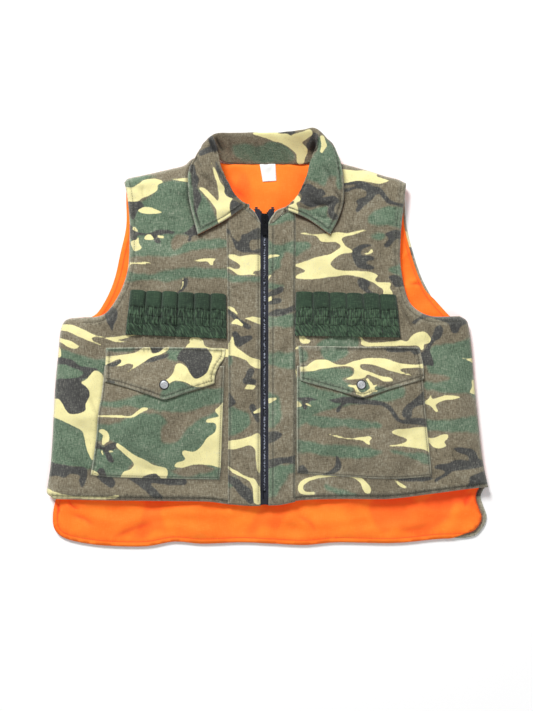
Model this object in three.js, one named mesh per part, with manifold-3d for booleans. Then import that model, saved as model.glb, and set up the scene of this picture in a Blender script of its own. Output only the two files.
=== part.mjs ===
// A reversible hunting vest lying flat on its back: camouflage cloth outside, blaze orange lining inside,
// wadding between them, a shirt collar, an open-end zip, two elastic cartridge holders and two patch pockets
// with snapped flaps.
//
// Millimetres. +Z is up off the surface the vest lies on, +Y points at the collar. Left and right are the wearer's,
// so left is +X. Each half is drawn on the +X side and the right half is mirrored. The fronts lie a little to the
// right of the back, so everything fitted to the zip is drawn from the zip's middle and then moved with it.
import * as THREE from "three";
import { mergeVertices } from "three/addons/utils/BufferGeometryUtils.js";
import Module from "manifold-3d";

const wasm = await Module();
wasm.setup();

// ---- driving dimensions ----
const GAP = 0.3; // air between pieces that touch
const SHELL = 1.0; // camouflage cloth
const WADDING = 3.0;
const LINING = 1.0;
const CAVITY = 8.4; // air between the back and the fronts of the empty vest
const SEAM_WALL = 8; // cloth turned up along the side and shoulder seams

const ZIP_X = -6; // the middle of the zip
const HEM_Y = -240; // front hem
const HEM_DIP = 9; // the front hem hangs lower beside the zip
// Where each front's hem reaches the side, its seam beside the zip strip, and the foot of its pocket.
const SIDES = {
  left: { sign: 1, hem: -226, seam: 46.5, pocketFoot: [50, 251] },
  right: { sign: -1, hem: -240, seam: 57, pocketFoot: [67, 261] },
};
const POCKET_EDGE = 238; // outer edge of the flaps and of the pockets' tops
const TAIL_Y = -312; // the back is longer than the fronts
const NECK_SEAM_Y = 268; // collar seam at the back of the neck

const FRONT_EDGE_X = 8; // edge of the cloth beside the zip
const PLACKET = 0.9;

// ---- heights of the layers, from the floor up ----
const BACK_SHELL_Z = [0, SHELL];
const BACK_WADDING_Z = [BACK_SHELL_Z[1] + GAP, BACK_SHELL_Z[1] + GAP + WADDING];
const BACK_LINING_Z = [BACK_WADDING_Z[1] + GAP, BACK_WADDING_Z[1] + GAP + LINING];
const FRONT_LINING_Z = [BACK_LINING_Z[1] + CAVITY, BACK_LINING_Z[1] + CAVITY + LINING];
const FRONT_WADDING_Z = [FRONT_LINING_Z[1] + GAP, FRONT_LINING_Z[1] + GAP + WADDING];
const FRONT_SHELL_Z = [FRONT_WADDING_Z[1] + GAP, FRONT_WADDING_Z[1] + GAP + SHELL];
const TOP = FRONT_SHELL_Z[1]; // the front's outer face
const ON_TOP = TOP + GAP; // where a piece sewn to the front starts

// ---- materials ----
const cloth = (color) => new THREE.MeshStandardMaterial({ color, roughness: 0.9, metalness: 0 });
const camo = cloth(0x5c5f48);
const orange = cloth(0xff7124);
const wadding = cloth(0xf2efe6);
const elastic = cloth(0x24402c);
const labelCloth = cloth(0xf4f4f2);
const tapeCloth = cloth(0x14161c);
const blackPlastic = new THREE.MeshStandardMaterial({ color: 0x111218, roughness: 0.45, metalness: 0 });
const blackMetal = new THREE.MeshStandardMaterial({ color: 0x1b1c20, roughness: 0.35, metalness: 0.7 });
const snapMetal = new THREE.MeshStandardMaterial({ color: 0xb9bcc0, roughness: 0.28, metalness: 0.95 });

// ---- shape tools ----
const at = (x, y) => new THREE.Vector2(x, y);

// A smooth run of points through the given ones.
const smooth = (points, divisions) => new THREE.SplineCurve(points.map(([x, y]) => at(x, y))).getPoints(divisions);

function prism(outline, [low, high]) {
  const geometry = new THREE.ExtrudeGeometry(new THREE.Shape(outline), {
    depth: high - low,
    bevelEnabled: false,
    curveSegments: 8,
  });
  return geometry.translate(0, 0, low);
}

const box = (x0, x1, y0, y1, z0, z1) =>
  new THREE.BoxGeometry(x1 - x0, y1 - y0, z1 - z0).translate((x0 + x1) / 2, (y0 + y1) / 2, (z0 + z1) / 2);

const rectangle = (x0, x1, y0, y1) => [at(x0, y0), at(x1, y0), at(x1, y1), at(x0, y1)];

// A body turned round a vertical line at (x, y). The profile is [radius, height] and closes on itself or the axis.
function turned(profile, x, y, segments = 20) {
  const geometry = new THREE.LatheGeometry(
    profile.map(([r, z]) => at(r, z)),
    segments,
  );
  return geometry.rotateX(Math.PI / 2).translate(x, y, 0);
}

// A closed body through rings of points. Every ring has the same number of points and winds the same way.
function loft(rings) {
  const count = rings[0].length;
  const positions = rings.flat(2);
  const index = [];
  for (let i = 0; i + 1 < rings.length; i++)
    for (let j = 0; j < count; j++) {
      const a = i * count + j;
      const b = i * count + ((j + 1) % count);
      index.push(a, b, b + count, a, b + count, a + count);
    }
  const flat = (ring) => ring.map(([x, y, z]) => [x, y, z]);
  for (const [ring, start, turn] of [
    [flat(rings[0]), 0, true],
    [flat(rings.at(-1)), (rings.length - 1) * count, false],
  ]) {
    // The end faces are strips between the ring's outer and inner line, which a curved section needs.
    for (let j = 0; j + 1 < ring.length / 2; j++) {
      const a = start + j;
      const b = start + j + 1;
      const c = start + count - 2 - j;
      const d = start + count - 1 - j;
      const faces = [a, b, c, a, c, d];
      index.push(...(turn ? faces.reverse() : faces));
    }
  }
  const geometry = new THREE.BufferGeometry();
  geometry.setAttribute("position", new THREE.Float32BufferAttribute(positions, 3));
  geometry.setIndex(index);
  return geometry;
}

// ---- joining and cutting ----
function solid(geometry) {
  const bare = geometry.clone();
  bare.deleteAttribute("normal");
  bare.deleteAttribute("uv");
  const merged = mergeVertices(bare, 1e-3);
  return new wasm.Manifold(
    new wasm.Mesh({
      numProp: 3,
      vertProperties: new Float32Array(merged.attributes.position.array),
      triVerts: new Uint32Array(merged.index.array),
    }),
  );
}

function geometryOf(body) {
  const { vertProperties, triVerts } = body.getMesh();
  const geometry = new THREE.BufferGeometry();
  geometry.setAttribute("position", new THREE.BufferAttribute(vertProperties, 3));
  geometry.setIndex(new THREE.BufferAttribute(triVerts, 1));
  return geometry;
}

const cut = (geometry, ...tools) =>
  geometryOf(tools.reduce((body, tool) => body.subtract(solid(tool)), solid(geometry)));
const join = (...geometries) => geometryOf(geometries.map(solid).reduce((a, b) => a.add(b)));
const common = (a, b) => geometryOf(solid(a).intersect(solid(b)));

function piece(name, geometry, material) {
  const mesh = new THREE.Mesh(geometry, material);
  mesh.name = name;
  return mesh;
}

// ---- outlines, on the +X side ----
const NECK_POINT = [72, 275]; // where the shoulder seam meets the collar
const SHOULDER_TIP = [214, 234];
const SIDE_TOP = [299, 30];

const shoulderLine = [NECK_POINT, [117, 265], [163, 251], SHOULDER_TIP];
const frontArmhole = smooth([[206, 208], [203, 161], [203, 125], [210, 85], [222, 62], [238, 43], [258, 33]], 14).map(
  (p) => [p.x, p.y],
);
const backArmhole = smooth([[213, 214], [212, 172], [219, 137], [228, 103], [240, 73], [256, 50], [270, 34]], 14);
const sideSeam = [[307, 22], [311, -10], [319, -83], [324, -163], [332, -229]];
const tail = smooth([[324, -250], [328, -272], [325, -288], [312, -299], [281, -308], [240, TAIL_Y]], 10);
const neckline = smooth([[14, 197], [30, 203], [49, 219], [62, 244], NECK_POINT], 8).map((p) => [p.x, p.y]);

const points = (list) => list.map((p) => (p.isVector2 ? p : at(...p)));

// The whole back, from the middle of the hem round the +X side to the middle of the neck and back again.
function backOutline() {
  const half = points([
    ...tail.slice().reverse(),
    [332, -229],
    ...sideSeam.slice(0, -1).reverse(),
    SIDE_TOP,
    ...backArmhole.slice().reverse(),
    ...shoulderLine.slice().reverse(),
    [66, NECK_SEAM_Y],
  ]);
  const mirrored = half.map((p) => at(-p.x, p.y)).reverse();
  return [...half, ...mirrored];
}

// The fold that a front swings on when the vest is opened: from the shoulder tip to the side of the hem.
const FOLD_FOOT_X = 305;
const FOLD_CLEAR = 0.8; // between the swinging front and the strip that stays
const [FOLD_X, FOLD_Y] = SHOULDER_TIP;
const foldX = (side, y) => FOLD_X + ((FOLD_Y - y) / (FOLD_Y - side.hem)) * (FOLD_FOOT_X - FOLD_X);

// One front as it swings, from the zip edge to the armhole and the fold.
function frontOutline(side, inset = 0) {
  const lean = side.sign * ZIP_X;
  const edge = FRONT_EDGE_X + lean + inset;
  const foldTop = 33 - inset;
  const fromZip = ([x, y]) => at(x + lean, y);
  const armhole = frontArmhole.slice(0, -2).reverse();
  return [
    at(edge, HEM_Y - HEM_DIP + inset),
    at(28 + lean, HEM_Y - HEM_DIP + 2 + inset),
    at(60 + lean, HEM_Y + inset),
    at(190, (HEM_Y + side.hem) / 2 + inset),
    at(foldX(side, side.hem) - FOLD_CLEAR - inset, side.hem + inset),
    at(foldX(side, foldTop) - FOLD_CLEAR - inset, foldTop),
    ...armhole.map(([x, y]) => at(x + lean - inset, y - inset)),
    ...shoulderLine
      .slice(1)
      .reverse()
      .map(([x, y]) => at(x - 3.5 - inset, y - 10.2 - inset)),
    at(78 + inset, 263 - inset),
    ...neckline.slice(0, -1).reverse().map(fromZip).map((p) => at(p.x + 1 + inset, p.y - inset)),
    at(edge, 192 - inset),
  ];
}

// ---- the back ----
// Cloth turned up along a side seam. Grown, it is the tool that clears the back's layers round it.
function sideWall(side, grow = 0) {
  const reach = grow * 30;
  const foot = [332, side.hem];
  const seam = [foot, ...sideSeam.slice(0, -1).reverse(), SIDE_TOP];
  const spread = (y) => (y === foot[1] ? -grow : y === SIDE_TOP[1] ? grow : 0);
  const outer = seam.map(([x, y]) => at(x + reach, y + spread(y)));
  const inner = seam.map(([x, y]) => at(x - (y === SIDE_TOP[1] ? 2 : SEAM_WALL) - grow, y + spread(y)));
  return [...outer, ...inner.reverse()];
}

// The same along a shoulder seam.
function shoulderWall(grow = 0) {
  const reach = grow * 30;
  const spread = [-grow, 0, 0, reach];
  const slope = [-0.22, 0, 0, -0.34]; // the seam's own fall at its two ends
  const top = shoulderLine.map(([x, y], i) => at(x + spread[i], y + reach));
  const foot = shoulderLine.map(([x, y], i) => at(x - 2 + spread[i], y - 9.5 - grow + spread[i] * slope[i]));
  return [...top, ...foot.reverse()];
}

function backLayer(heights) {
  const layer = prism(backOutline(), heights);
  const tall = [heights[0] - 1, heights[1] + 1];
  const tools = [];
  for (const side of Object.values(SIDES))
    for (const wall of [sideWall(side, GAP), shoulderWall(GAP)])
      tools.push(
        prism(
          wall.map((p) => at(side.sign * p.x, p.y)),
          tall,
        ),
      );
  return cut(layer, ...tools);
}

// The strip of a front that stays when the front swings: the top between fold and side seam, and the seam's wall.
function sideWrap(side) {
  const seam = sideSeam.slice(0, -1).reverse();
  const top = points([
    [foldX(side, side.hem), side.hem],
    [332, side.hem],
    ...seam,
    SIDE_TOP,
    [foldX(side, 32), 32],
  ]);
  return join(prism(top, [FRONT_LINING_Z[0], TOP]), prism(sideWall(side), [0, TOP - 0.01]));
}

const LABEL = { width: 22, length: 27, thick: 0.6, turn: -0.05 };
function neckLabel() {
  const { width, length, thick, turn } = LABEL;
  const low = BACK_LINING_Z[1] + GAP;
  const cloth = box(-width / 2, width / 2, -length, 0, low, low + thick);
  return cloth.rotateZ(-turn).translate(2, NECK_SEAM_Y - 3, 0);
}

// ---- the collar ----
const COLLAR_CLOTH = 1.1; // each of its two layers
// The roll line, and the free edge of the leaf, from the back corner to the front.
const ROLL = [[79, 300], [71, 271], [62, 243], [50, 219], [36, 204], [20, 196]];
const LEAF_EDGE = [[95, 287], [114, 262], [118, 244], [116, 220], [111, 191], [99.5, 156]];
// Height of the leaf from the roll (0) to its edge (1), as [share, height above the front].
const LEAF_RISE = [[0, 16], [0.06, 18], [0.16, 17], [0.34, 10.5], [0.6, 5.5], [1, 3.2]];
const ROLL_SINK = 4; // the roll is lower at the zip than at the neck

// One layer of the leaf, depth below the leaf's upper face. It starts on the front's neckline, climbs to the roll
// and falls to the free edge.
function collarLeaf(depth) {
  const stations = 11;
  const roll = smooth(ROLL, stations - 1);
  const edge = smooth(LEAF_EDGE, stations - 1);
  const rings = roll.map((r, i) => {
    const e = edge[i];
    const sink = ROLL_SINK * (i / (stations - 1)) ** 2;
    const along = e.clone().sub(r);
    const out = along.clone().normalize();
    const line = [[r.x - out.x * (2 - depth), r.y - out.y * (2 - depth), ON_TOP + 0.9]];
    for (const [share, rise] of LEAF_RISE)
      line.push([r.x + along.x * share, r.y + along.y * share, TOP + rise - sink * (1 - share)]);
    // The stand leans out, so a deeper layer lies further in along the leaf and lower on its top.
    const shifted = (d) =>
      line.map(([x, y, z], k) => {
        const inward = [1, 0.9, 0.35, 0.15, 0, 0, 0][k] * d;
        const down = [0, 0.5, 0.95, 1, 1, 1, 1][k] * d;
        return [x + out.x * inward, y + out.y * inward, z - down];
      });
    return [...shifted(depth), ...shifted(depth + COLLAR_CLOTH).reverse()];
  });
  return loft(rings.reverse());
}

// The back of the collar leans away from the neck, rolls over and lies under itself.
const BACK_COLLAR_X = 69;
const BACK_COLLAR = [[269, 8.8], [280, 12.6], [293, 20], [303, 27], [309, 29], [311.5, 25], [310, 16], [301, 8], [285, 3.2], [274, 2.6]];
function backCollar(depth) {
  const curve = new THREE.SplineCurve(BACK_COLLAR.map(([y, z]) => at(y, z)));
  const line = curve.getPoints(14);
  const moved = (d) =>
    line.map((p, i) => {
      const before = line[Math.max(i - 1, 0)];
      const after = line[Math.min(i + 1, line.length - 1)];
      const way = after.clone().sub(before).normalize();
      return [p.x + way.y * d, p.y - way.x * d];
    });
  const ring = [...moved(depth), ...moved(depth + COLLAR_CLOTH).reverse()];
  return loft([BACK_COLLAR_X, 0, -BACK_COLLAR_X].map((x) => ring.map(([y, z]) => [x, y, z])));
}

// ---- the zip ----
const TOOTH_PITCH = 2.8;
const TOOTH_WIDTH = 1.0;
const TOOTH_REACH = 1.3; // past the middle
const CHAIN_Z = [16, 18.6];
const TAPE_Z = [16.9, 17.7];
const BEAD_X = [1.9, 3.2]; // the bead the teeth are moulded on
const CHAIN_FOOT = -226;
const CHAIN_TOP = 182; // the teeth part here and spread to the neckline
const SPREAD_TOP = [12, 197];

// x of a line that runs beside the closed chain and spreads above it.
const spreadX = (x, y) => x + (Math.max(0, y - CHAIN_TOP) / (SPREAD_TOP[1] - CHAIN_TOP)) ** 1.4 * (SPREAD_TOP[0] - 4);

function zipTeeth(offset) {
  const bead = [];
  const back = [];
  const steps = Math.floor((SPREAD_TOP[1] - CHAIN_FOOT) / TOOTH_PITCH) - 1;
  for (let i = 0; i < steps; i++) {
    const y = CHAIN_FOOT + offset + i * TOOTH_PITCH;
    for (const [dy, x] of [
      [0, BEAD_X[0]],
      [0.15, -TOOTH_REACH],
      [TOOTH_WIDTH - 0.15, -TOOTH_REACH],
      [TOOTH_WIDTH, BEAD_X[0]],
    ])
      bead.push(at(spreadX(x, y), y + dy));
  }
  const last = bead.at(-1).y;
  for (const y of [last, 191, 188, 185, CHAIN_TOP, bead[0].y]) back.push(at(spreadX(BEAD_X[1], y), y));
  return prism([...bead, ...back], CHAIN_Z);
}

function zipTape() {
  const inner = [CHAIN_FOOT - 5, CHAIN_TOP, 185, 189, 193, SPREAD_TOP[1]].map((y) =>
    at(spreadX(BEAD_X[1] + GAP, y), y),
  );
  const outer = [SPREAD_TOP[1], 192.5].map((y) => at(spreadX(BEAD_X[1] + GAP, y) + 3.6, y + 0.5));
  return prism([...inner, ...outer, at(FRONT_EDGE_X - GAP, 188), at(FRONT_EDGE_X - GAP, CHAIN_FOOT - 5)], TAPE_Z);
}

const topStop = () => prism(rectangle(10.2, 14.2, 197.6, 200), [CHAIN_Z[0] + 1, CHAIN_Z[1]]);
const zipPin = () => prism(rectangle(0.7, 2.9, HEM_Y - 3, CHAIN_FOOT - 1.2), CHAIN_Z);
const zipBox = () =>
  cut(
    box(-4.4, 4.4, HEM_Y - 6, HEM_Y + 2, 15.2, 19.4),
    box(0.3, 3.3, HEM_Y - 3.4, HEM_Y + 3, CHAIN_Z[0] - GAP, CHAIN_Z[1] + GAP),
  );

// The slider: two plates with the chain between them, and the wedge that parts the teeth.
const SLIDER = { foot: 174, head: 190, half: 5.2, floor: [14.3, 15.5], roof: [19.1, 20.3] };
const PIVOT = { y: 181, z: 21.5, r: 0.55 };
function zipSlider() {
  const { foot, head, half, floor, roof } = SLIDER;
  const plate = [at(-half * 0.8, foot), at(half * 0.8, foot), at(half, 181), at(half, head - 3), at(2.5, head)];
  const outline = [...plate, at(-2.5, head), at(-half, head - 3), at(-half, 181)];
  const wedge = [at(0, 187.5), at(0.8, head), at(-0.8, head)];
  const bridge = cut(
    box(-0.8, 0.8, 176, 186.5, roof[1] - 0.1, 23.4),
    box(-2, 2, 177.3, 185.2, roof[1] + 0.3, 22.3),
  );
  const flange = (x) => box(x - 0.5, x + 0.5, foot + 3, 184.8, TAPE_Z[1] + 0.35, roof[0] + 0.1);
  return join(
    prism(outline, floor),
    prism(outline, roof),
    prism(wedge, [floor[1] - 0.1, roof[0] + 0.1]),
    flange(half - 0.55),
    flange(0.55 - half),
    bridge,
  );
}

// The pull hangs from a bar under the slider's bridge and lies down the chain.
function zipPull() {
  const { y, z, r } = PIVOT;
  const bar = new THREE.CylinderGeometry(r, r, 4.4, 10).rotateZ(Math.PI / 2).translate(0, y, z);
  const arm = (x) => box(x - 0.55, x + 0.55, y - 8, y + 0.5, z - 0.55, z + 0.55);
  const tab = cut(
    box(-3.8, 3.8, y - 23.5, y - 6.4, z - 0.9, z + 0.9),
    box(-2.4, 2.4, y - 21.6, y - 10.5, z + 0.45, z + 2),
  );
  return join(bar, arm(1.65), arm(-1.65), tab);
}

// ---- the cartridge holders ----
const HOLDER = { edge: 202, y: [4, 70], base: 1.0, loops: 6, rise: 7.2, cloth: 1.2, foot: 6 };
const holderX = (side) => [side.seam + 0.5, HOLDER.edge];
const BAND_Z = ON_TOP + HOLDER.base + GAP;

const holderBase = (side) => prism(rectangle(...holderX(side), ...HOLDER.y), [ON_TOP, ON_TOP + HOLDER.base]);

// The elastic is sewn down between the loops and along its foot, and stands up in six arches open at the top.
function holderBand(side) {
  const { y, loops, rise, cloth, foot } = HOLDER;
  const x = holderX(side);
  const width = (x[1] - x[0]) / loops;
  const arch = (middle, half, height) => {
    const line = [];
    for (let i = 0; i <= 8; i++) {
      const a = (Math.PI * i) / 8;
      const bulge = Math.abs(Math.cos(a)) ** 0.6 * Math.sign(Math.cos(a));
      line.push(at(middle + half * bulge, height * Math.sin(a) ** 0.6));
    }
    return line;
  };
  const upright = (outline, y0, y1) =>
    new THREE.ExtrudeGeometry(new THREE.Shape(outline), { depth: y1 - y0, bevelEnabled: false })
      .rotateX(Math.PI / 2)
      .translate(0, y1, BAND_Z);
  const parts = [box(x[0], x[1], y[0], y[0] + foot, BAND_Z, BAND_Z + cloth)];
  const tunnels = [];
  for (let i = 0; i < loops; i++) {
    const middle = x[0] + (i + 0.5) * width;
    parts.push(upright(arch(middle, width / 2 + 0.2, rise), y[0] + foot - 1, y[1]));
    tunnels.push(upright(arch(middle, width / 2 - cloth, rise - cloth), y[0] + foot, y[1] + 1));
  }
  const beside = (x0, x1) => box(x0, x1, y[0] - 1, y[1] + 2, BAND_Z - 1, BAND_Z + 20);
  const below = box(x[0] - 3, x[1] + 3, y[0] - 1, y[1] + 2, BAND_Z - 5, BAND_Z);
  return cut(join(...parts), ...tunnels, beside(x[0] - 2, x[0]), beside(x[1], x[1] + 2), below);
}

// ---- the pockets and their flaps ----
const POCKET = { mouth: -38, foot: -206, cloth: 1.2, hollow: 6.4, hem: 5 };
const POCKET_TOP = ON_TOP + POCKET.hollow - GAP + POCKET.cloth;
const FLAP = { seam: -12, corner: -62, tip: -86, cloth: 1.0, facing: 0.8 };
const SNAP_Y = -66;
const flapX = (side) => [side.seam + 3, POCKET_EDGE];
const snapX = (side) => (side.seam + 3 + POCKET_EDGE) / 2;
const STUD_Z = POCKET_TOP + GAP;
const SOCKET_Z = STUD_Z + 0.9;
const FLAP_Z = SOCKET_Z + 2.8 + GAP;
const HOLE = 1.8; // radius of the holes the snaps are set in

const snapHole = (side, low, high) =>
  turned([[0, low], [HOLE, low], [HOLE, high], [0, high]], snapX(side), SNAP_Y, 16);

function pocket(side) {
  const { mouth, foot, cloth, hollow, hem } = POCKET;
  const [innerFoot, outerFoot] = side.pocketFoot;
  const inner = side.seam + 2.5;
  const outline = [at(inner, mouth), at(innerFoot, foot), at(outerFoot, foot), at(POCKET_EDGE, mouth)];
  const inside = [
    at(inner + hem, mouth + 1),
    at(innerFoot + hem, foot + hem),
    at(outerFoot - hem, foot + hem),
    at(POCKET_EDGE - hem, mouth + 1),
  ];
  return cut(
    prism(outline, [ON_TOP, ON_TOP + hollow - GAP + cloth]),
    prism(inside, [ON_TOP - 1, ON_TOP + hollow - GAP]),
    snapHole(side, STUD_Z - 4, STUD_Z + 2),
  );
}

// One layer of the flap: sewn to the front, stepped up over the pocket's mouth and flat to its point.
function flapLayer(side, low, cloth) {
  const { seam, corner, tip } = FLAP;
  const rise = FLAP_Z + low;
  const start = ON_TOP + 0.25 + low;
  const section = [
    at(seam - 0.4, start),
    at(seam - 4, start),
    at(seam - 22, rise),
    at(tip - 1, rise),
    at(tip - 1, rise + cloth),
    at(seam - 22.6, rise + cloth),
    at(seam - 4.6, start + cloth),
    at(seam - 1 - low * 1.5, start + cloth * 0.6),
  ];
  const [x0, x1] = flapX(side);
  const along = new THREE.ExtrudeGeometry(new THREE.Shape(section), { depth: x1 - x0, bevelEnabled: false });
  // The section is drawn in (y, z) and run along x.
  const run = along.applyMatrix4(new THREE.Matrix4().set(0, 0, 1, x0, 1, 0, 0, 0, 0, 1, 0, 0, 0, 0, 0, 1));
  const outline = [at(x0, 0), at(x0 + 1, corner), at(snapX(side), tip), at(x1 - 1, corner), at(x1, 0)];
  return cut(common(run, prism(outline, [0, 60])), snapHole(side, FLAP_Z - 2, FLAP_Z + 4));
}

const FACING_TOP = FLAP.facing + GAP;
const CAP_Z = FLAP_Z + FACING_TOP + FLAP.cloth + GAP;

// The four parts of a press stud: cap and socket hold the flap between them, stud and post hold the pocket.
function snapCap(side) {
  const z = CAP_Z;
  const rim = [[6.9, z], [7.3, z + 0.5], [6.6, z + 1.2], [4, z + 1.8], [0, z + 2]];
  return turned([[0, FLAP_Z + 0.1], [1.5, FLAP_Z + 0.1], [1.5, z], ...rim], snapX(side), SNAP_Y, 24);
}

function snapSocket(side) {
  const z = SOCKET_Z;
  const ring = [[2.7, z], [5.4, z], [6, z + 0.8], [6, z + 2.2], [5.4, z + 2.8], [2.7, z + 2.8], [2.7, z]];
  return turned(ring, snapX(side), SNAP_Y);
}

function snapStud(side) {
  const z = STUD_Z;
  const neck = [[1.8, z + 0.6], [1.8, z + 1.4], [2.3, z + 2.2], [1.7, z + 2.9], [0, z + 3]];
  return turned([[0, z], [5.6, z], [5.6, z + 0.6], ...neck], snapX(side), SNAP_Y);
}

function snapPost(side) {
  const top = STUD_Z - 0.1;
  const head = POCKET_TOP - POCKET.cloth - GAP;
  const profile = [[0, head - 0.8], [4.8, head - 0.8], [5.2, head], [1.5, head], [1.5, top], [0, top]];
  return turned(profile, snapX(side), SNAP_Y);
}

// ---- assembly ----
function placket(side) {
  const hem = HEM_Y - HEM_DIP;
  const outline = points([
    [FRONT_EDGE_X, hem],
    [28, hem + 2],
    [side.seam, HEM_Y + 1.5],
    [side.seam, 150],
    [34, 170],
    [16, 192],
    [FRONT_EDGE_X, 188],
  ]);
  return prism(outline, [ON_TOP, ON_TOP + PLACKET]);
}

function half(who) {
  const side = SIDES[who];
  const named = (name, geometry, material) => piece(`${name}_${who}`, geometry, material);
  const fitted = new THREE.Group();
  fitted.add(
    named("placket", placket(side), camo),
    named("collar_leaf_upper", collarLeaf(0), camo),
    named("collar_leaf_under", collarLeaf(COLLAR_CLOTH + GAP), orange),
    named("zip_tape", zipTape(), tapeCloth),
    named("zip_teeth", zipTeeth(side.sign > 0 ? 0 : TOOTH_PITCH / 2), blackPlastic),
    named("zip_top_stop", topStop(), blackMetal),
    named("holder_base", holderBase(side), elastic),
    named("holder_band", holderBand(side), elastic),
    named("pocket", pocket(side), camo),
    named("snap_post", snapPost(side), snapMetal),
    named("snap_stud", snapStud(side), snapMetal),
    named("flap_facing", flapLayer(side, 0, FLAP.facing), camo),
    named("flap", flapLayer(side, FACING_TOP, FLAP.cloth), camo),
    named("snap_socket", snapSocket(side), snapMetal),
    named("snap_cap", snapCap(side), snapMetal),
  );
  fitted.position.x = side.sign * ZIP_X;
  const group = new THREE.Group();
  group.add(
    named("side_wrap", sideWrap(side), camo),
    named("shoulder_seam", prism(shoulderWall(), [0, TOP]), camo),
    named("front_shell", prism(frontOutline(side), FRONT_SHELL_Z), camo),
    named("front_wadding", prism(frontOutline(side, 4), FRONT_WADDING_Z), wadding),
    named("front_lining", prism(frontOutline(side), FRONT_LINING_Z), orange),
    fitted,
  );
  group.scale.x = side.sign;
  return group;
}

function zipFittings() {
  const group = new THREE.Group();
  group.add(
    piece("zip_pin", zipPin(), blackPlastic),
    piece("zip_box", zipBox(), blackPlastic),
    piece("zip_slider", zipSlider(), blackMetal),
    piece("zip_pull", zipPull(), blackMetal),
  );
  group.position.x = ZIP_X;
  return group;
}

const vest = new THREE.Group();
vest.add(
  piece("back_shell", backLayer(BACK_SHELL_Z), camo),
  piece("back_wadding", backLayer(BACK_WADDING_Z), wadding),
  piece("back_lining", backLayer(BACK_LINING_Z), orange),
  piece("neck_label", neckLabel(), labelCloth),
  piece("collar_back_upper", backCollar(0), camo),
  piece("collar_back_under", backCollar(COLLAR_CLOTH + GAP), orange),
  half("left"),
  half("right"),
  zipFittings(),
);


// The frame's origin is under the middle of the whole outline.
const extent = new THREE.Box3().setFromObject(vest);
vest.position.y = -(extent.min.y + extent.max.y) / 2;

export default vest;
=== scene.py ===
"""A padded hunting vest, camouflage outside and blaze orange inside, lying on its back on a white floor.

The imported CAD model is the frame: cloth is modelled round it, and the hard parts get finished materials.
Lengths here are millimetres, turned into metres where a mesh is made. +X is the wearer's left.
"""

import math

import bpy
import numpy as np
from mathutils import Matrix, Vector
from mathutils.geometry import delaunay_2d_cdt


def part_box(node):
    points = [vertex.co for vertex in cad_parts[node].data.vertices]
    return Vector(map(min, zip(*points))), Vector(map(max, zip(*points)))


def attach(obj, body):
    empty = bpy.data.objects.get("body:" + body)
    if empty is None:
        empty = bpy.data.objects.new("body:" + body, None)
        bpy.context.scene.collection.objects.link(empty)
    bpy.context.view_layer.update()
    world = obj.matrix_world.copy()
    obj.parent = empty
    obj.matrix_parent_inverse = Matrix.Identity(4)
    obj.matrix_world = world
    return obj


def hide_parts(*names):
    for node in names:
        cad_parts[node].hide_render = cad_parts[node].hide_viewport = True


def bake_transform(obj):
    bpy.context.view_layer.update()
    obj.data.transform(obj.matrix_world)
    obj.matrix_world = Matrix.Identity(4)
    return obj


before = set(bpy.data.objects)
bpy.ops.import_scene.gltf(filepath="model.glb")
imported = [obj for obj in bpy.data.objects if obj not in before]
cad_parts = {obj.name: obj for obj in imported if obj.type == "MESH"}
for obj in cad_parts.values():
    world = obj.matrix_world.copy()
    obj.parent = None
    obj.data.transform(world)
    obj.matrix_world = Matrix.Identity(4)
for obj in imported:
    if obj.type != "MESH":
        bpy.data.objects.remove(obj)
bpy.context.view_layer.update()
MM = 0.001


def box_mm(node):
    """A CAD node's box in millimetres, as [[x0, x1], [y0, y1], [z0, z1]]."""
    low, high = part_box(node)
    return [[a / MM, b / MM] for a, b in zip(low, high)]


# ---- measures taken from the frame ----
FRONT_TOP = box_mm("front_shell_left")[2][1]
FRONT_FOOT = box_mm("front_lining_left")[2][0]
BACK_TOP = box_mm("back_lining")[2][1]
ZIP_X = sum(box_mm("zip_slider")[0]) / 2
CLOTH = 1.1  # thickness of the outer cloth
LINING = 0.8  # thickness of the lining

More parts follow.
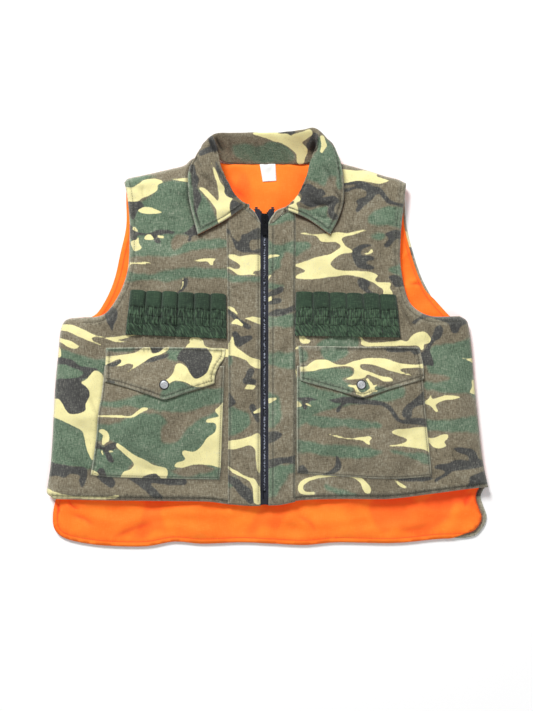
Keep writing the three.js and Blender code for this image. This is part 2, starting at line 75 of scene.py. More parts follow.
# ---- the cloth outlines, one run of points for each edge ----
OUTLINES = {
    "left": [
        ("zip", [(0, 176), (0, -246)]),
        ("hem", [(0, -246), (22, -246), (48, -240), (110, -238), (180, -238), (240, -231), (300, -223),
                 (331, -220)]),
        ("side", [(331, -220), (323, -180), (316, -120), (310, -60), (306, -10), (302, 20), (298, 31),
                  (288, 37)]),
        ("armhole", [(288, 37), (264, 36), (243, 37), (225, 45), (212, 58), (205, 77), (201, 97),
                     (198, 122), (199, 160), (203, 200), (206, 226), (207, 237)]),
        ("shoulder", [(207, 237), (195, 243), (175, 248), (150, 256), (110, 267), (76, 275)]),
        ("neck", [(76, 275), (70, 248), (59, 224), (44, 208), (24, 200), (12, 195), (4, 187), (0, 176)]),
    ],
    "right": [
        ("neck", [(-12, 176), (-16, 187), (-24, 195), (-36, 201), (-54, 210), (-68, 226), (-77, 248),
                  (-80, 275)]),
        ("shoulder", [(-80, 275), (-112, 275), (-127, 264), (-150, 258), (-190, 249), (-212, 244),
                      (-217, 238)]),
        ("armhole", [(-217, 238), (-214, 226), (-211, 205), (-209, 180), (-209, 150), (-210, 120),
                     (-213, 100), (-221, 77), (-232, 57), (-244, 42), (-258, 36), (-278, 35)]),
        ("side", [(-278, 35), (-300, 33), (-309, 27), (-314, 12), (-317, -20), (-321, -60), (-324, -110),
                  (-326, -150), (-329, -190), (-333, -218), (-334, -230), (-325, -238)]),
        ("hem", [(-325, -238), (-250, -240), (-169, -241), (-94, -242), (-60, -246), (-30, -247),
                 (-12, -247)]),
        ("zip", [(-12, -247), (-12, 176)]),
    ],
    "back": [
        ("tail", [(-322, -236), (-327, -262), (-325, -284), (-312, -298), (-285, -306), (-245, -311),
                  (-186, -312), (-143, -305), (-100, -308), (-42, -306), (7, -308), (55, -310),
                  (105, -306), (190, -307), (255, -301), (286, -300), (312, -296), (326, -282),
                  (331, -266), (326, -250), (322, -236), (328, -222)]),
        ("side", [(328, -222), (321, -180), (315, -120), (309, -60), (305, -10), (301, 20), (297, 32)]),
        ("armhole", [(297, 32), (279, 35), (266, 47), (245, 72), (230, 101), (216, 145), (209, 178),
                     (207, 215), (206, 236)]),
        ("shoulder", [(206, 236), (195, 242), (175, 247), (150, 255), (110, 266), (70, 273)]),
        ("neck", [(70, 273), (66, 268), (0, 267), (-66, 268), (-74, 273)]),
        ("shoulder", [(-74, 273), (-112, 274), (-127, 263), (-150, 257), (-190, 248), (-211, 243),
                      (-216, 237)]),
        ("armhole", [(-216, 237), (-216, 213), (-216, 173), (-225, 131), (-234, 92), (-249, 58), (-267, 37),
                     (-304, 32)]),
        ("side", [(-304, 32), (-311, 20), (-316, -20), (-320, -60), (-323, -110), (-325, -150),
                  (-328, -190), (-332, -218), (-322, -236)]),
    ],
}

# ---- the printed pattern ----
# A patch is either the closed outline of a shape, as (x, y), or a stroke, as (x, y, half-width).
# Cloth that is cut as its own piece has its own part of the print.
PRINT = {
    "ground_right": {
        "cream": [
            [(-318, 23), (-300, 24), (-285, 20), (-270, 13), (-250, 6), (-225, 6), (-196, 9), (-218, 3),
             (-226, 0), (-206, -3), (-228, -2), (-240, 1), (-252, 5), (-263, 4), (-262, 0), (-251, -7),
             (-266, -2), (-282, 5), (-300, 13), (-318, 16)],
            [(-320, 4), (-302, 1), (-290, -4), (-282, -9), (-290, -13), (-302, -9), (-312, -3), (-320, -1)],
            [(-320, -8), (-313, -12), (-312, -24), (-320, -24)],
            [(-260, -45), (-249, -52), (-246, -80), (-246, -120), (-252, -150), (-258, -170), (-264, -180),
             (-270, -170), (-274, -158), (-276, -145), (-281, -135), (-296, -126), (-312, -119),
             (-328, -113), (-332, -100), (-326, -90), (-316, -88), (-308, -96), (-302, -106),
             (-296, -110), (-284, -109), (-274, -104), (-274, -95), (-269, -85), (-268, -77),
             (-274, -68), (-281, -63), (-270, -56)],
            [(-340, -221), (-320, -227), (-300, -232), (-270, -233), (-245, -234), (-222, -231),
             (-224, -234), (-240, -238), (-280, -238), (-340, -238)],
            [(-123, -7), (-118, -3), (-119, 2), (-112, 5), (-104, 4), (-98, 0), (-91, -10), (-60, -14),
             (-60, -24), (-122, -20)],
            [(-222, 229), (-205, 229), (-196, 234), (-186, 241), (-172, 243), (-160, 240), (-158, 237),
             (-166, 233), (-167, 225), (-178, 218), (-190, 213), (-196, 209), (-210, 209), (-222, 209)],
            [(-196, 195), (-188, 200), (-176, 199), (-159, 192), (-176, 190), (-190, 191)],
            [(-206, 148), (-198, 151), (-195, 155), (-194, 146), (-190, 138), (-200, 134), (-204, 140)],
            [(-201, 168, 2.4), (-197, 164, 1.6)],
            [(-186, 152), (-182, 158), (-176, 158), (-172, 151)],
            [(-165, 156, 1.8), (-158, 155, 1.4)],
            [(-214, 108, 1.6), (-207, 116, 1.6), (-177, 116, 1.2)],
            [(-134, 120), (-120, 119), (-104, 121), (-92, 123), (-77, 122), (-82, 119), (-83, 113),
             (-87, 113), (-92, 118), (-106, 118), (-122, 118)],
            [(-144, 241), (-134, 242), (-112, 243), (-112, 237), (-130, 238)],
            [(-128, 92, 0.3), (-128, 84, 0.4), (-131, 77, 0.5), (-139, 73, 0.3)],
        ],
        "charcoal": [
            [(-330, -24), (-310, -26), (-294, -30), (-280, -38), (-256, -42), (-262, -52), (-280, -62),
             (-264, -78), (-270, -106), (-285, -113), (-302, -110), (-314, -92), (-322, -84),
             (-330, -66), (-318, -59), (-300, -57), (-284, -54), (-278, -48), (-290, -42), (-306, -36),
             (-330, -35)],
            [(-257, -119), (-264, -124), (-262, -132), (-256, -138)],
            [(-246, 46), (-234, 50), (-226, 44), (-226, 34), (-232, 24), (-234, 14), (-238, 22),
             (-244, 34)],
            [(-334, -183), (-312, -186), (-296, -188), (-276, -190), (-272, -200), (-275, -214),
             (-280, -219), (-284, -210), (-283, -203), (-296, -200), (-306, -205), (-316, -203),
             (-334, -203)],
            [(-260, -200), (-240, -202), (-230, -212), (-234, -221), (-244, -216), (-254, -208)],
            [(-212, -202), (-150, -204), (-124, -208), (-126, -216), (-150, -217), (-176, -214),
             (-166, -226), (-158, -236), (-172, -236), (-184, -226), (-200, -214)],
            [(-216, 210), (-200, 210), (-190, 208), (-187, 200), (-196, 194), (-200, 184), (-204, 180),
             (-208, 190), (-216, 200)],
            [(-216, 176), (-206, 172), (-200, 164), (-192, 162), (-180, 160), (-166, 166), (-150, 166),
             (-140, 161), (-154, 160), (-164, 157), (-162, 146), (-170, 147), (-174, 155), (-190, 158),
             (-198, 156), (-196, 148), (-204, 150), (-208, 158), (-216, 162)],
            [(-134, 161), (-122, 164), (-112, 174), (-100, 174), (-104, 160), (-114, 156), (-116, 149),
             (-121, 150), (-120, 158)],
            [(-128, 92), (-121, 92), (-122, 82), (-130, 72), (-138, 70), (-131, 80)],
        ],
        "green": [
            [(-330, -14), (-306, -14), (-290, -20), (-262, -26), (-244, -30), (-244, -50), (-262, -48),
             (-280, -62), (-330, -62)],
            [(-334, -108), (-312, -116), (-296, -122), (-278, -134), (-272, -150), (-268, -168),
             (-262, -180), (-268, -192), (-285, -191), (-312, -186), (-334, -180)],
            [(-216, 186), (-196, 200), (-190, 210), (-176, 218), (-164, 236), (-140, 240), (-118, 236),
             (-96, 220), (-96, 180), (-108, 160), (-140, 158), (-146, 140), (-134, 130), (-150, 125),
             (-190, 126), (-216, 128)],
            [(-150, 128), (-136, 138), (-120, 146), (-100, 151), (-60, 150), (-60, 140), (-90, 138),
             (-118, 134), (-136, 126)],
            [(-216, 102), (-180, 99), (-150, 104), (-120, 109), (-90, 108), (-60, 106), (-60, 95),
             (-90, 93), (-120, 96), (-146, 89), (-180, 91), (-216, 88)],
            [(-222, 242), (-205, 247), (-186, 250), (-168, 246), (-185, 240), (-196, 234), (-206, 229),
             (-222, 229)],
        ],
    },
    "ground_left": {
        "cream": [
            [(47, 160), (52, 162), (66, 160), (92, 160), (104, 162), (116, 161), (128, 163), (140, 166),
             (149, 164), (140, 162), (126, 158), (114, 155), (110, 152), (112, 147), (116, 141),
             (124, 136), (126, 132), (112, 130), (104, 126), (96, 120), (93, 114), (98, 108), (108, 105),
             (144, 104), (158, 101), (164, 97), (160, 92), (164, 88), (183, 87), (182, 78), (186, 72),
             (184, 62), (172, 62), (172, 76), (164, 82), (150, 90), (136, 95), (118, 98), (98, 96),
             (68, 92), (42, 93), (42, 98), (55, 104), (48, 109), (38, 113), (56, 119), (74, 125),
             (90, 129), (100, 134), (108, 140), (106, 145), (98, 148), (86, 147), (78, 149), (74, 154),
             (68, 157), (56, 158)],
            [(104, 256), (128, 255), (142, 256), (156, 254), (164, 252), (162, 247), (170, 244), (181, 240),
             (174, 237), (164, 235), (150, 237), (134, 239), (104, 236)],
            [(143, 130), (150, 132), (154, 137), (157, 133), (148, 129)],
            [(122, 67, 1.6), (128, 69, 2.0)],
            [(46, 4), (48, 9), (53, 8), (56, 4), (63, 0), (60, -4), (50, -4)],
            [(135, 7), (141, 4), (145, -1), (156, -4), (176, -2), (198, 0), (208, -1), (216, 8), (226, 13),
             (236, 12), (243, 3), (240, -4), (233, -6), (232, -13), (228, -14), (226, -9), (216, -7),
             (200, -8), (142, -8), (139, 0)],
            [(289, -26), (300, -27), (312, -28), (312, -34), (302, -31)],
            [(306, -60), (314, -62), (314, -80), (302, -78), (306, -70)],
            [(307, 6, 1.5), (308, -9, 1.8)],
            [(243, -80), (245, -87), (256, -85), (266, -82), (287, -84), (276, -88), (262, -90), (252, -94),
             (250, -98), (255, -107), (250, -107), (244, -99), (234, -93), (240, -87)],
            [(234, -146), (248, -146), (258, -141), (268, -141), (268, -147), (263, -152), (266, -158),
             (258, -161), (248, -160), (242, -154), (234, -150)],
            [(68, -231), (54, -231), (46, -227), (44, -220), (48, -212), (58, -206), (76, -202),
             (100, -200), (122, -201), (136, -204), (146, -212), (153, -221), (152, -229), (146, -229),
             (141, -222), (138, -214), (126, -206), (104, -204), (80, -206), (64, -210), (56, -214),
             (52, -220), (56, -226), (69, -227)],
            [(188, -208), (196, -212), (207, -219), (203, -222), (194, -217)],
            [(41, -44, 1.0), (44, -56, 1.8)],
            [(41, -12, 1.4), (48, -9, 1.2)],
        ],
        "charcoal": [
            [(106, 236), (122, 238), (134, 240), (146, 237), (158, 232), (168, 229), (174, 224), (180, 214),
             (188, 208), (204, 204), (204, 199), (190, 202), (178, 206), (172, 212), (166, 219), (160, 218),
             (156, 212), (148, 205), (140, 198), (134, 192), (130, 194), (134, 204), (130, 208), (136, 212),
             (146, 216), (147, 223), (140, 227), (128, 226), (116, 222), (106, 226), (120, 228), (131, 232),
             (120, 233), (106, 230)],
            [(174, 160), (190, 166), (204, 162), (204, 154), (190, 151), (180, 140), (172, 143),
             (180, 152)],
            [(125, 134), (132, 141), (142, 144), (156, 143), (148, 140), (141, 136), (139, 129), (146, 127),
             (158, 125), (158, 120), (150, 120), (146, 116), (154, 113), (160, 110), (156, 106), (144, 106),
             (134, 110), (128, 118), (125, 127)],
            [(134, 92), (142, 94), (150, 90), (154, 84), (148, 80), (154, 74), (162, 70), (152, 68),
             (144, 74), (136, 80), (134, 86)],
            [(180, 96), (190, 98), (200, 93), (206, 84), (192, 80), (186, 86)],
            [(214, 27), (226, 36), (236, 41), (262, 42), (282, 36), (300, 34), (304, 28), (290, 22),
             (284, 12), (276, 12), (270, 24), (258, 30), (240, 34), (228, 31), (220, 24)],
            [(246, 8), (250, 20), (258, 24), (262, 16), (258, 4), (248, -2), (241, -14), (246, -30),
             (246, -38), (238, -36), (228, -40), (226, -20), (234, -14)],
            [(276, -161), (292, -160), (306, -163), (312, -170), (316, -178), (332, -184), (320, -190),
             (308, -192), (290, -194), (276, -196), (268, -202), (258, -208), (250, -212), (252, -206),
             (264, -198), (256, -194), (248, -192), (252, -186), (268, -184), (284, -178), (300, -179),
             (296, -172), (284, -168)],
            [(302, -204), (312, -200), (326, -196), (338, -196), (338, -212), (318, -216), (304, -222),
             (294, -225), (300, -214)],
            [(190, -204), (244, -206), (232, -211), (200, -211)],
        ],
        "green": [
            [(242, -14), (262, -6), (290, -2), (315, 2), (320, -84), (300, -80), (262, -78), (236, -72),
             (236, -62), (262, -62), (272, -56), (262, -52), (238, -46)],
            [(228, -117), (250, -120), (280, -118), (326, -112), (328, -136), (300, -138), (270, -136),
             (230, -132)],
            [(148, 180), (156, 192), (172, 198), (190, 202), (204, 196), (204, 168), (190, 170), (172, 172),
             (154, 174)],
            [(152, 158), (170, 162), (176, 156), (166, 150), (156, 152)],
            [(180, 106), (190, 112), (204, 118), (204, 96), (192, 100)],
            [(36, 146), (56, 147), (62, 140), (50, 132), (36, 127)],
            [(84, -216), (96, -220), (120, -226), (132, -232), (112, -234), (92, -226)],
            [(74, -4), (92, 5), (124, 8), (136, 0), (130, -12), (80, -12)],
        ],
    },
    "strip_right": {
        "cream": [
            [(-61, 127), (-56, 129), (-48, 128), (-40, 126), (-30, 128), (-24, 129), (-12, 126), (-12, 106),
             (-20, 104), (-23, 100), (-12, 96), (-24, 98), (-40, 98), (-48, 100), (-56, 106), (-66, 109),
             (-58, 110), (-50, 107), (-44, 108), (-42, 112), (-48, 117), (-56, 121)],
            [(-60, 50, 2), (-53, 46, 2.4), (-47, 40, 1)],
            [(-54, 26, 2), (-48, 28, 3.4), (-40, 23, 2)],
            [(-34, 33, 1), (-24, 32, 3), (-12, 29, 5)],
            [(-66, -14), (-58, -2), (-54, 6), (-52, 0), (-50, -8), (-40, -16), (-28, -24), (-12, -30),
             (-12, -42), (-26, -38), (-34, -30), (-48, -24), (-66, -20)],
            [(-35, -72, 1), (-30, -70, 3), (-24, -70, 3), (-20, -68, 1)],
            [(-22, -108, 1), (-12, -104, 3)],
            [(-70, -152), (-56, -150), (-40, -147), (-28, -143), (-12, -142), (-12, -196), (-17, -194),
             (-19, -178), (-20, -164), (-28, -157), (-40, -160), (-52, -163), (-70, -161)],
            [(-66, -186, 1.5), (-52, -196, 2), (-36, -204, 2), (-24, -210, 4), (-18, -222, 5),
             (-16, -240, 6)],
        ],
        "charcoal": [
            [(-66, 168), (-58, 166), (-54, 156), (-46, 148), (-42, 150), (-40, 158), (-32, 160), (-22, 166),
             (-12, 168), (-12, 152), (-26, 150), (-28, 142), (-24, 136), (-12, 138), (-12, 131), (-36, 132),
             (-48, 136), (-52, 146), (-58, 156), (-64, 162)],
            [(-60, 44, 3), (-46, 30, 3), (-30, 20, 4)],
            [(-50, 10, 4), (-44, -2, 7), (-28, 4, 4)],
            [(-26, -46, 5), (-34, -60, 4), (-22, -62, 4)],
            [(-60, -80, 3), (-54, -92, 4), (-60, -98, 3)],
            [(-66, -202, 4), (-48, -214, 7), (-34, -228, 9), (-26, -238, 6)],
            [(-24, -100, 5), (-16, -120, 3)],
        ],
        "green": [
            [(-70, -100), (-44, -104), (-30, -110), (-28, -124), (-40, -136), (-56, -142), (-70, -142)],
            [(-70, -14), (-58, -22), (-54, -36), (-70, -42)],
            [(-62, 102), (-50, 97), (-12, 95), (-12, 88), (-50, 88), (-62, 92)],
            [(-62, -206), (-52, -204), (-46, -212), (-54, -220), (-66, -216)],
        ],
    },
    "strip_left": {
        "cream": [
            [(-6, 122, 1.2), (0, 124, 1), (3, 126, 1.6), (15, 127, 1.2)],
            [(-6, 90), (0, 97), (4, 98), (0, 92), (-4, 86)],
            [(-6, -93, 1.5), (2, -90, 3), (11, -87, 1.6)],
            [(-4, 58, 2), (2, 62, 3), (4, 66, 1)],
        ],
        "charcoal": [
            [(-4, 70), (10, 77), (20, 81), (23, 74), (12, 68), (-4, 64)],
            [(-4, 38), (10, 46), (26, 48), (46, 56), (46, 48), (28, 40), (12, 36)],
            [(-4, -140), (10, -136), (20, -140), (16, -146), (8, -152), (-4, -154)],
            [(-4, -180), (12, -176), (30, -174), (46, -172), (46, -184), (22, -184), (8, -190), (-4, -192)],
            [(2, 58, 5), (16, 60, 4)],
        ],
        "green": [
            [(-6, 178), (10, 174), (30, 178), (46, 184), (46, 214), (-6, 214)],
            [(-6, 150), (10, 145), (30, 147), (46, 147), (46, 127), (28, 131), (20, 122), (18, 112),
             (12, 106), (-6, 100)],
            [(-6, 86), (12, 84), (22, 81), (10, 76), (-6, 80)],
            [(-6, 40), (10, 36), (40, 42), (46, 40), (46, 24), (20, 20), (-6, 22)],
            [(-6, -20), (20, -18), (46, -20), (46, -42), (20, -40), (-6, -34)],
            [(-6, -80), (14, -84), (18, -100), (14, -124), (-6, -128)],
            [(-6, -190), (24, -186), (46, -184), (46, -196), (30, -200), (22, -216), (10, -232),
             (-6, -232)],
        ],
    },
    "pocket_right": {
        "cream": [
            [(-262, -112), (-226, -112), (-206, -112), (-196, -106), (-186, -100), (-178, -102),
             (-190, -108), (-204, -115), (-226, -115), (-262, -114)],
            [(-254, -136), (-248, -133), (-240, -138), (-238, -150), (-244, -154), (-248, -157),
             (-250, -150), (-248, -142)],
            [(-250, -166, 1.5), (-248, -171, 1.3)],
            [(-238, -166, 1), (-233, -166, 1)],
            [(-226, -153), (-218, -158), (-206, -168), (-190, -176), (-172, -186), (-152, -193),
             (-155, -212), (-162, -206), (-168, -200), (-178, -200), (-190, -205), (-196, -212),
             (-222, -212), (-218, -198), (-206, -192), (-202, -184), (-210, -174), (-220, -165),
             (-228, -158)],
            [(-272, -193), (-256, -198), (-256, -203), (-272, -203)],
            [(-60, -96), (-76, -100), (-80, -106), (-74, -114), (-92, -118), (-92, -123), (-80, -124),
             (-80, -136), (-92, -146), (-102, -160), (-112, -166), (-126, -164), (-129, -169),
             (-125, -178), (-138, -183), (-140, -189), (-128, -191), (-112, -186), (-90, -186),
             (-60, -184)],
        ],
        "charcoal": [
            [(-268, -150), (-256, -153), (-248, -160), (-238, -154), (-228, -152), (-225, -158),
             (-232, -164), (-240, -165), (-234, -174), (-231, -182), (-238, -182), (-244, -174),
             (-248, -165), (-256, -162), (-270, -162)],
            [(-92, -152), (-86, -144), (-60, -142), (-60, -160), (-80, -162), (-90, -160)],
            [(-190, -210), (-180, -201), (-170, -199), (-160, -210)],
            [(-260, -212), (-256, -194), (-248, -191), (-244, -198), (-244, -212)],
        ],
        "green": [
            [(-256, -90), (-230, -92), (-200, -84), (-180, -80), (-156, -86), (-130, -80), (-100, -74),
             (-60, -72), (-60, -92), (-90, -98), (-120, -105), (-150, -106), (-180, -103), (-206, -98),
             (-256, -99)],
            [(-206, -112), (-180, -107), (-160, -112), (-152, -120), (-158, -132), (-160, -148),
             (-148, -154), (-132, -146), (-122, -132), (-104, -118), (-84, -110), (-60, -104),
             (-60, -192), (-100, -184), (-130, -190), (-154, -196), (-170, -186), (-200, -176),
             (-226, -156), (-240, -150), (-262, -150), (-262, -128), (-226, -124)],
            [(-270, -156), (-246, -160), (-226, -162), (-204, -178), (-208, -190), (-222, -212),
             (-276, -212)],
            [(-154, -192), (-140, -200), (-120, -204), (-90, -196), (-60, -190), (-60, -214), (-156, -214)],
        ],
    },
    "pocket_left": {
        "cream": [
            [(40, -91), (46, -92), (49, -98), (40, -99)],
            [(57, -95, 1.2), (63, -98, 1)],
            [(90, -140), (106, -143), (124, -146), (138, -144), (150, -143), (154, -146), (150, -150),
             (151, -155), (146, -154), (138, -149), (120, -148), (104, -145)],
            [(183, -137), (190, -133), (206, -132), (222, -130), (234, -130), (248, -136), (248, -170),
             (232, -163), (212, -160), (196, -158), (180, -157), (192, -155), (204, -152), (207, -148),
             (200, -144), (190, -141)],
        ],
        "charcoal": [
            [(40, -86), (56, -85), (66, -86), (73, -89), (62, -90), (58, -98), (56, -104), (52, -100),
             (49, -91)],
            [(88, -89), (98, -87), (112, -84), (130, -84), (150, -88), (168, -91), (180, -96), (188, -104),
             (194, -114), (200, -118), (212, -116), (248, -118), (248, -130), (222, -126), (204, -125),
             (194, -122), (186, -114), (180, -106), (170, -98), (158, -96), (140, -95), (120, -94),
             (110, -98), (106, -106), (102, -108), (101, -102), (108, -94), (98, -92)],
            [(200, -114), (200, -104), (206, -96), (216, -90), (224, -82), (234, -76), (236, -92),
             (224, -98), (216, -104), (212, -116)],
            [(102, -172), (108, -180), (108, -190), (100, -198), (88, -202), (80, -201), (92, -196),
             (100, -188), (100, -178)],
            [(44, -190), (52, -186), (60, -196), (58, -206), (44, -204)],
            [(236, -157, 3), (240, -162, 3)],
        ],
        "green": [
            [(38, -56), (60, -66), (90, -74), (120, -82), (150, -86), (170, -78), (200, -70), (204, -82),
             (186, -90), (150, -92), (110, -98), (90, -104), (70, -110), (60, -120), (38, -128)],
            [(60, -112), (90, -114), (120, -116), (156, -122), (166, -128), (140, -132), (110, -128),
             (80, -130), (58, -124)],
            [(38, -150), (62, -152), (90, -156), (120, -156), (150, -160), (168, -166), (150, -174),
             (110, -176), (70, -170), (38, -166)],
            [(180, -164), (206, -166), (248, -172), (248, -184), (228, -182), (200, -172)],
        ],
    },
    "flap_right": {
        "cream": [
            [(-250, -26), (-232, -23), (-216, -21), (-202, -19), (-190, -12), (-182, -8), (-176, -12),
             (-174, -19), (-164, -18), (-157, -12), (-149, -9), (-151, -15), (-160, -20), (-172, -24),
             (-180, -28), (-188, -34), (-198, -40), (-206, -45), (-213, -48), (-206, -43), (-202, -37),
             (-210, -34), (-220, -38), (-230, -39), (-221, -33), (-222, -28), (-232, -31), (-250, -38)],
            [(-94, -6), (-88, -16), (-84, -24), (-86, -34), (-90, -44), (-96, -52), (-108, -57),
             (-116, -50), (-122, -40), (-130, -34), (-138, -36), (-141, -46), (-146, -54), (-154, -60),
             (-148, -64), (-140, -60), (-124, -62), (-108, -69), (-76, -66), (-76, -46), (-66, -34),
             (-58, -24), (-58, -6)],
        ],
        "charcoal": [
            [(-134, -20), (-128, -13), (-112, -8), (-98, -8), (-90, -16), (-83, -24), (-85, -34),
             (-88, -44), (-96, -54), (-108, -59), (-118, -50), (-121, -40), (-126, -34), (-136, -28)],
            [(-178, -11), (-166, -9), (-158, -13), (-164, -18), (-174, -18)],
            [(-174, -24), (-160, -22), (-148, -19), (-150, -24), (-162, -29), (-176, -33), (-186, -33)],
            [(-220, -27), (-230, -32), (-242, -36), (-232, -40), (-220, -34)],
            [(-242, -60), (-230, -61), (-232, -65), (-242, -66)],
        ],
        "green": [
            [(-246, -5), (-206, -5), (-204, -15), (-246, -15)],
            [(-152, -5), (-126, -5), (-132, -20), (-136, -30), (-150, -26)],
            [(-146, -64), (-132, -60), (-116, -67), (-102, -71), (-130, -84), (-155, -94), (-160, -80)],
        ],
    },
    "flap_left": {
        "cream": [
            [(40, -40), (56, -39), (62, -34), (72, -29), (86, -29), (98, -34), (112, -36), (124, -32),
             (134, -30), (146, -27), (164, -26), (178, -28), (192, -33), (210, -36), (238, -35),
             (238, -41), (214, -41), (200, -42), (198, -46), (214, -52), (190, -48), (176, -43),
             (160, -37), (146, -35), (137, -36), (138, -42), (150, -47), (168, -53), (180, -55),
             (185, -60), (172, -61), (156, -54), (147, -51), (142, -56), (128, -58), (112, -58),
             (122, -54), (127, -48), (126, -42), (118, -39), (100, -40), (80, -42), (66, -45), (40, -46)],
            [(119, -67, 1), (129, -69, 2.2), (132, -77, 3), (140, -81, 2.6), (149, -77, 2.6), (155, -72, 3),
             (152, -65, 2.6), (147, -58, 2.2)],
            [(155, -73, 2), (162, -76, 1)],
            [(154, -69, 2), (162, -66, 1)],
        ],
        "charcoal": [
            [(176, -9), (196, -8), (222, -7), (229, -12), (226, -20), (218, -21), (212, -16), (200, -17),
             (178, -17)],
        ],
        "green": [
            [(40, -50), (66, -46), (84, -42), (104, -40), (120, -40), (128, -48), (122, -54), (112, -58),
             (122, -66), (126, -76), (104, -80), (80, -72), (40, -62)],
            [(40, -10), (56, -18), (58, -28), (40, -36)],
            [(80, -9), (112, -8), (118, -16), (112, -26), (98, -32), (84, -28), (78, -20)],
            [(134, -66), (144, -60), (150, -66), (146, -76), (138, -80), (132, -76)],
            [(158, -68), (176, -70), (196, -68), (192, -76), (160, -84), (150, -86), (158, -76)],
        ],
    },
    "collar": {
        "cream": [
            [(-85, 264), (-80, 256), (-76, 246), (-72, 236), (-66, 228), (-66, 220), (-60, 214), (-54, 212),
             (-57, 206), (-58, 196), (-56, 183), (-70, 174), (-76, 178), (-78, 194), (-84, 204), (-94, 216),
             (-104, 227), (-96, 227), (-86, 218), (-80, 212), (-76, 208), (-74, 214), (-75, 228),
             (-80, 244)],
            [(80, 302, 3), (83, 290, 4), (79, 281, 2)],
            [(40, 218), (48, 212), (46, 206), (42, 205), (44, 198), (44, 190), (40, 184), (32, 190),
             (30, 200), (38, 205), (34, 212)],
            [(-22, 308, 1), (-6, 307, 4), (10, 304, 6), (26, 300, 7), (40, 294, 9), (50, 284, 8),
             (48, 272, 6)],
            [(40, 300, 8), (60, 308, 5)],
        ],
        "charcoal": [
            [(-86, 300, 4), (-80, 286, 5), (-100, 279, 5)],
            [(-128, 262), (-112, 262), (-108, 250), (-104, 240), (-106, 228), (-100, 214), (-106, 196),
             (-106, 184), (-110, 190), (-112, 206), (-113, 222), (-115, 236), (-116, 250)],
            [(-78, 266), (-70, 252), (-62, 238), (-50, 230), (-42, 220), (-54, 213), (-66, 220), (-66, 232),
             (-70, 240), (-78, 256)],
            [(-56, 208), (-46, 207), (-38, 200), (-46, 192), (-58, 186), (-57, 198)],
            [(50, 232), (60, 234), (72, 226), (80, 226), (86, 218), (80, 214), (96, 216), (104, 212),
             (106, 206), (100, 202), (98, 192), (104, 186), (100, 180), (92, 184), (88, 192), (90, 200),
             (80, 203), (66, 198), (50, 204), (44, 208), (50, 214), (46, 222)],
            [(18, 309, 4), (36, 310, 4)],
            [(64, 293, 7), (68, 302, 6)],
        ],
        "green": [
            [(-128, 256), (-116, 250), (-112, 232), (-104, 226), (-94, 212), (-84, 200), (-80, 186),
             (-76, 174), (-100, 160), (-114, 154), (-122, 190), (-126, 220)],
            [(-56, 292), (-40, 294), (-20, 292), (0, 296), (20, 294), (36, 284), (38, 272), (10, 268),
             (-20, 270), (-46, 276)],
            [(70, 300), (86, 300), (98, 290), (106, 276), (114, 256), (114, 248), (98, 246), (88, 240),
             (84, 230), (76, 234), (62, 238), (52, 242), (56, 262), (72, 280)],
            [(44, 198), (60, 194), (74, 200), (88, 200), (88, 190), (96, 178), (104, 182), (112, 174),
             (104, 160), (88, 154), (70, 168), (50, 184)],
            [(103, 250), (109, 240), (108, 226), (103, 230)],
        ],
    },
}


# ---- number helpers ----
def ease(t):
    """0 below 0, 1 above 1, and a smooth rise between."""
    t = np.clip(t, 0, 1)
    return t * t * (3 - 2 * t)


def fade(distance, width):
    """1 on a line, falling smoothly to nothing on both sides of it."""
    return np.exp(-((distance / width) ** 2))


def waves(x, y, length, seed, count=14):
    """Smooth bumps about `length` apart, mostly between -1 and 1, the same each run."""
    rng = np.random.default_rng(seed)
    angle = rng.uniform(0, 2 * math.pi, count)
    pitch = 2 * math.pi / length * rng.uniform(0.6, 1.5, count)
    phase = rng.uniform(0, 2 * math.pi, count)
    total = sum(np.sin(k * (x * math.cos(a) + y * math.sin(a)) + p)
                for a, k, p in zip(angle, pitch, phase))
    return total / math.sqrt(count / 2)


def curve(points, counts):
    """A smooth curve through the points, with the given number of steps from each to the next."""
    p = np.array(points, float)
    padded = np.concatenate([[2 * p[0] - p[1]], p, [2 * p[-1] - p[-2]]])
    out = []
    for i, count in enumerate(counts):
        a, b, c, d = padded[i : i + 4]
        t = np.linspace(0, 1, count, endpoint=False).reshape(-1, *[1] * (p.ndim - 1))
        cubic = (3 * b - a - 3 * c + d) * t**3
        out.append(0.5 * (2 * b + (c - a) * t + (2 * a - 5 * b + 4 * c - d) * t**2 + cubic))
    return np.concatenate(out + [p[-1:]])


def spline(points, step):
    """Points about `step` apart on a smooth curve through the given ones."""
    p = np.array(points, float)
    counts = [max(1, round(np.linalg.norm(b - a) / step)) for a, b in zip(p, p[1:])]
    if len(p) == 2:
        return p[0] + (p[1] - p[0]) * np.linspace(0, 1, counts[0] + 1)[:, None]
    return curve(p, counts)


def near(x, y, path):
    """Distance from each point to a path, and how far along the path its nearest place is."""
    best = np.full(np.shape(x), np.inf)
    where = np.zeros(np.shape(x))
    run = 0.0
    for (ax, ay), (bx, by) in zip(path[:-1], path[1:]):
        dx, dy = bx - ax, by - ay
        size = math.hypot(dx, dy)
        if size < 1e-9:
            continue
        t = np.clip(((x - ax) * dx + (y - ay) * dy) / size**2, 0, 1)
        d = np.hypot(x - ax - t * dx, y - ay - t * dy)
        closer = d < best
        best[closer] = d[closer]
        where[closer] = run + t[closer] * size
        run += size
    return best, where


def stroke(x, y, points):
    """Distance in mm from each point to a stroke's edge, negative inside it."""
    best = np.full(np.shape(x), 1e3)
    for (ax, ay, ar), (bx, by, br) in zip(points[:-1], points[1:]):
        dx, dy = bx - ax, by - ay
        t = np.clip(((x - ax) * dx + (y - ay) * dy) / (dx * dx + dy * dy), 0, 1)
        d = np.hypot(x - ax - t * dx, y - ay - t * dy) - (ar + (br - ar) * t)
        blend = np.clip(0.5 + 0.5 * (best - d) / 2, 0, 1)  # runs melt into each other over 2 mm
        best = best + (d - best) * blend - 2 * blend * (1 - blend)
    return best


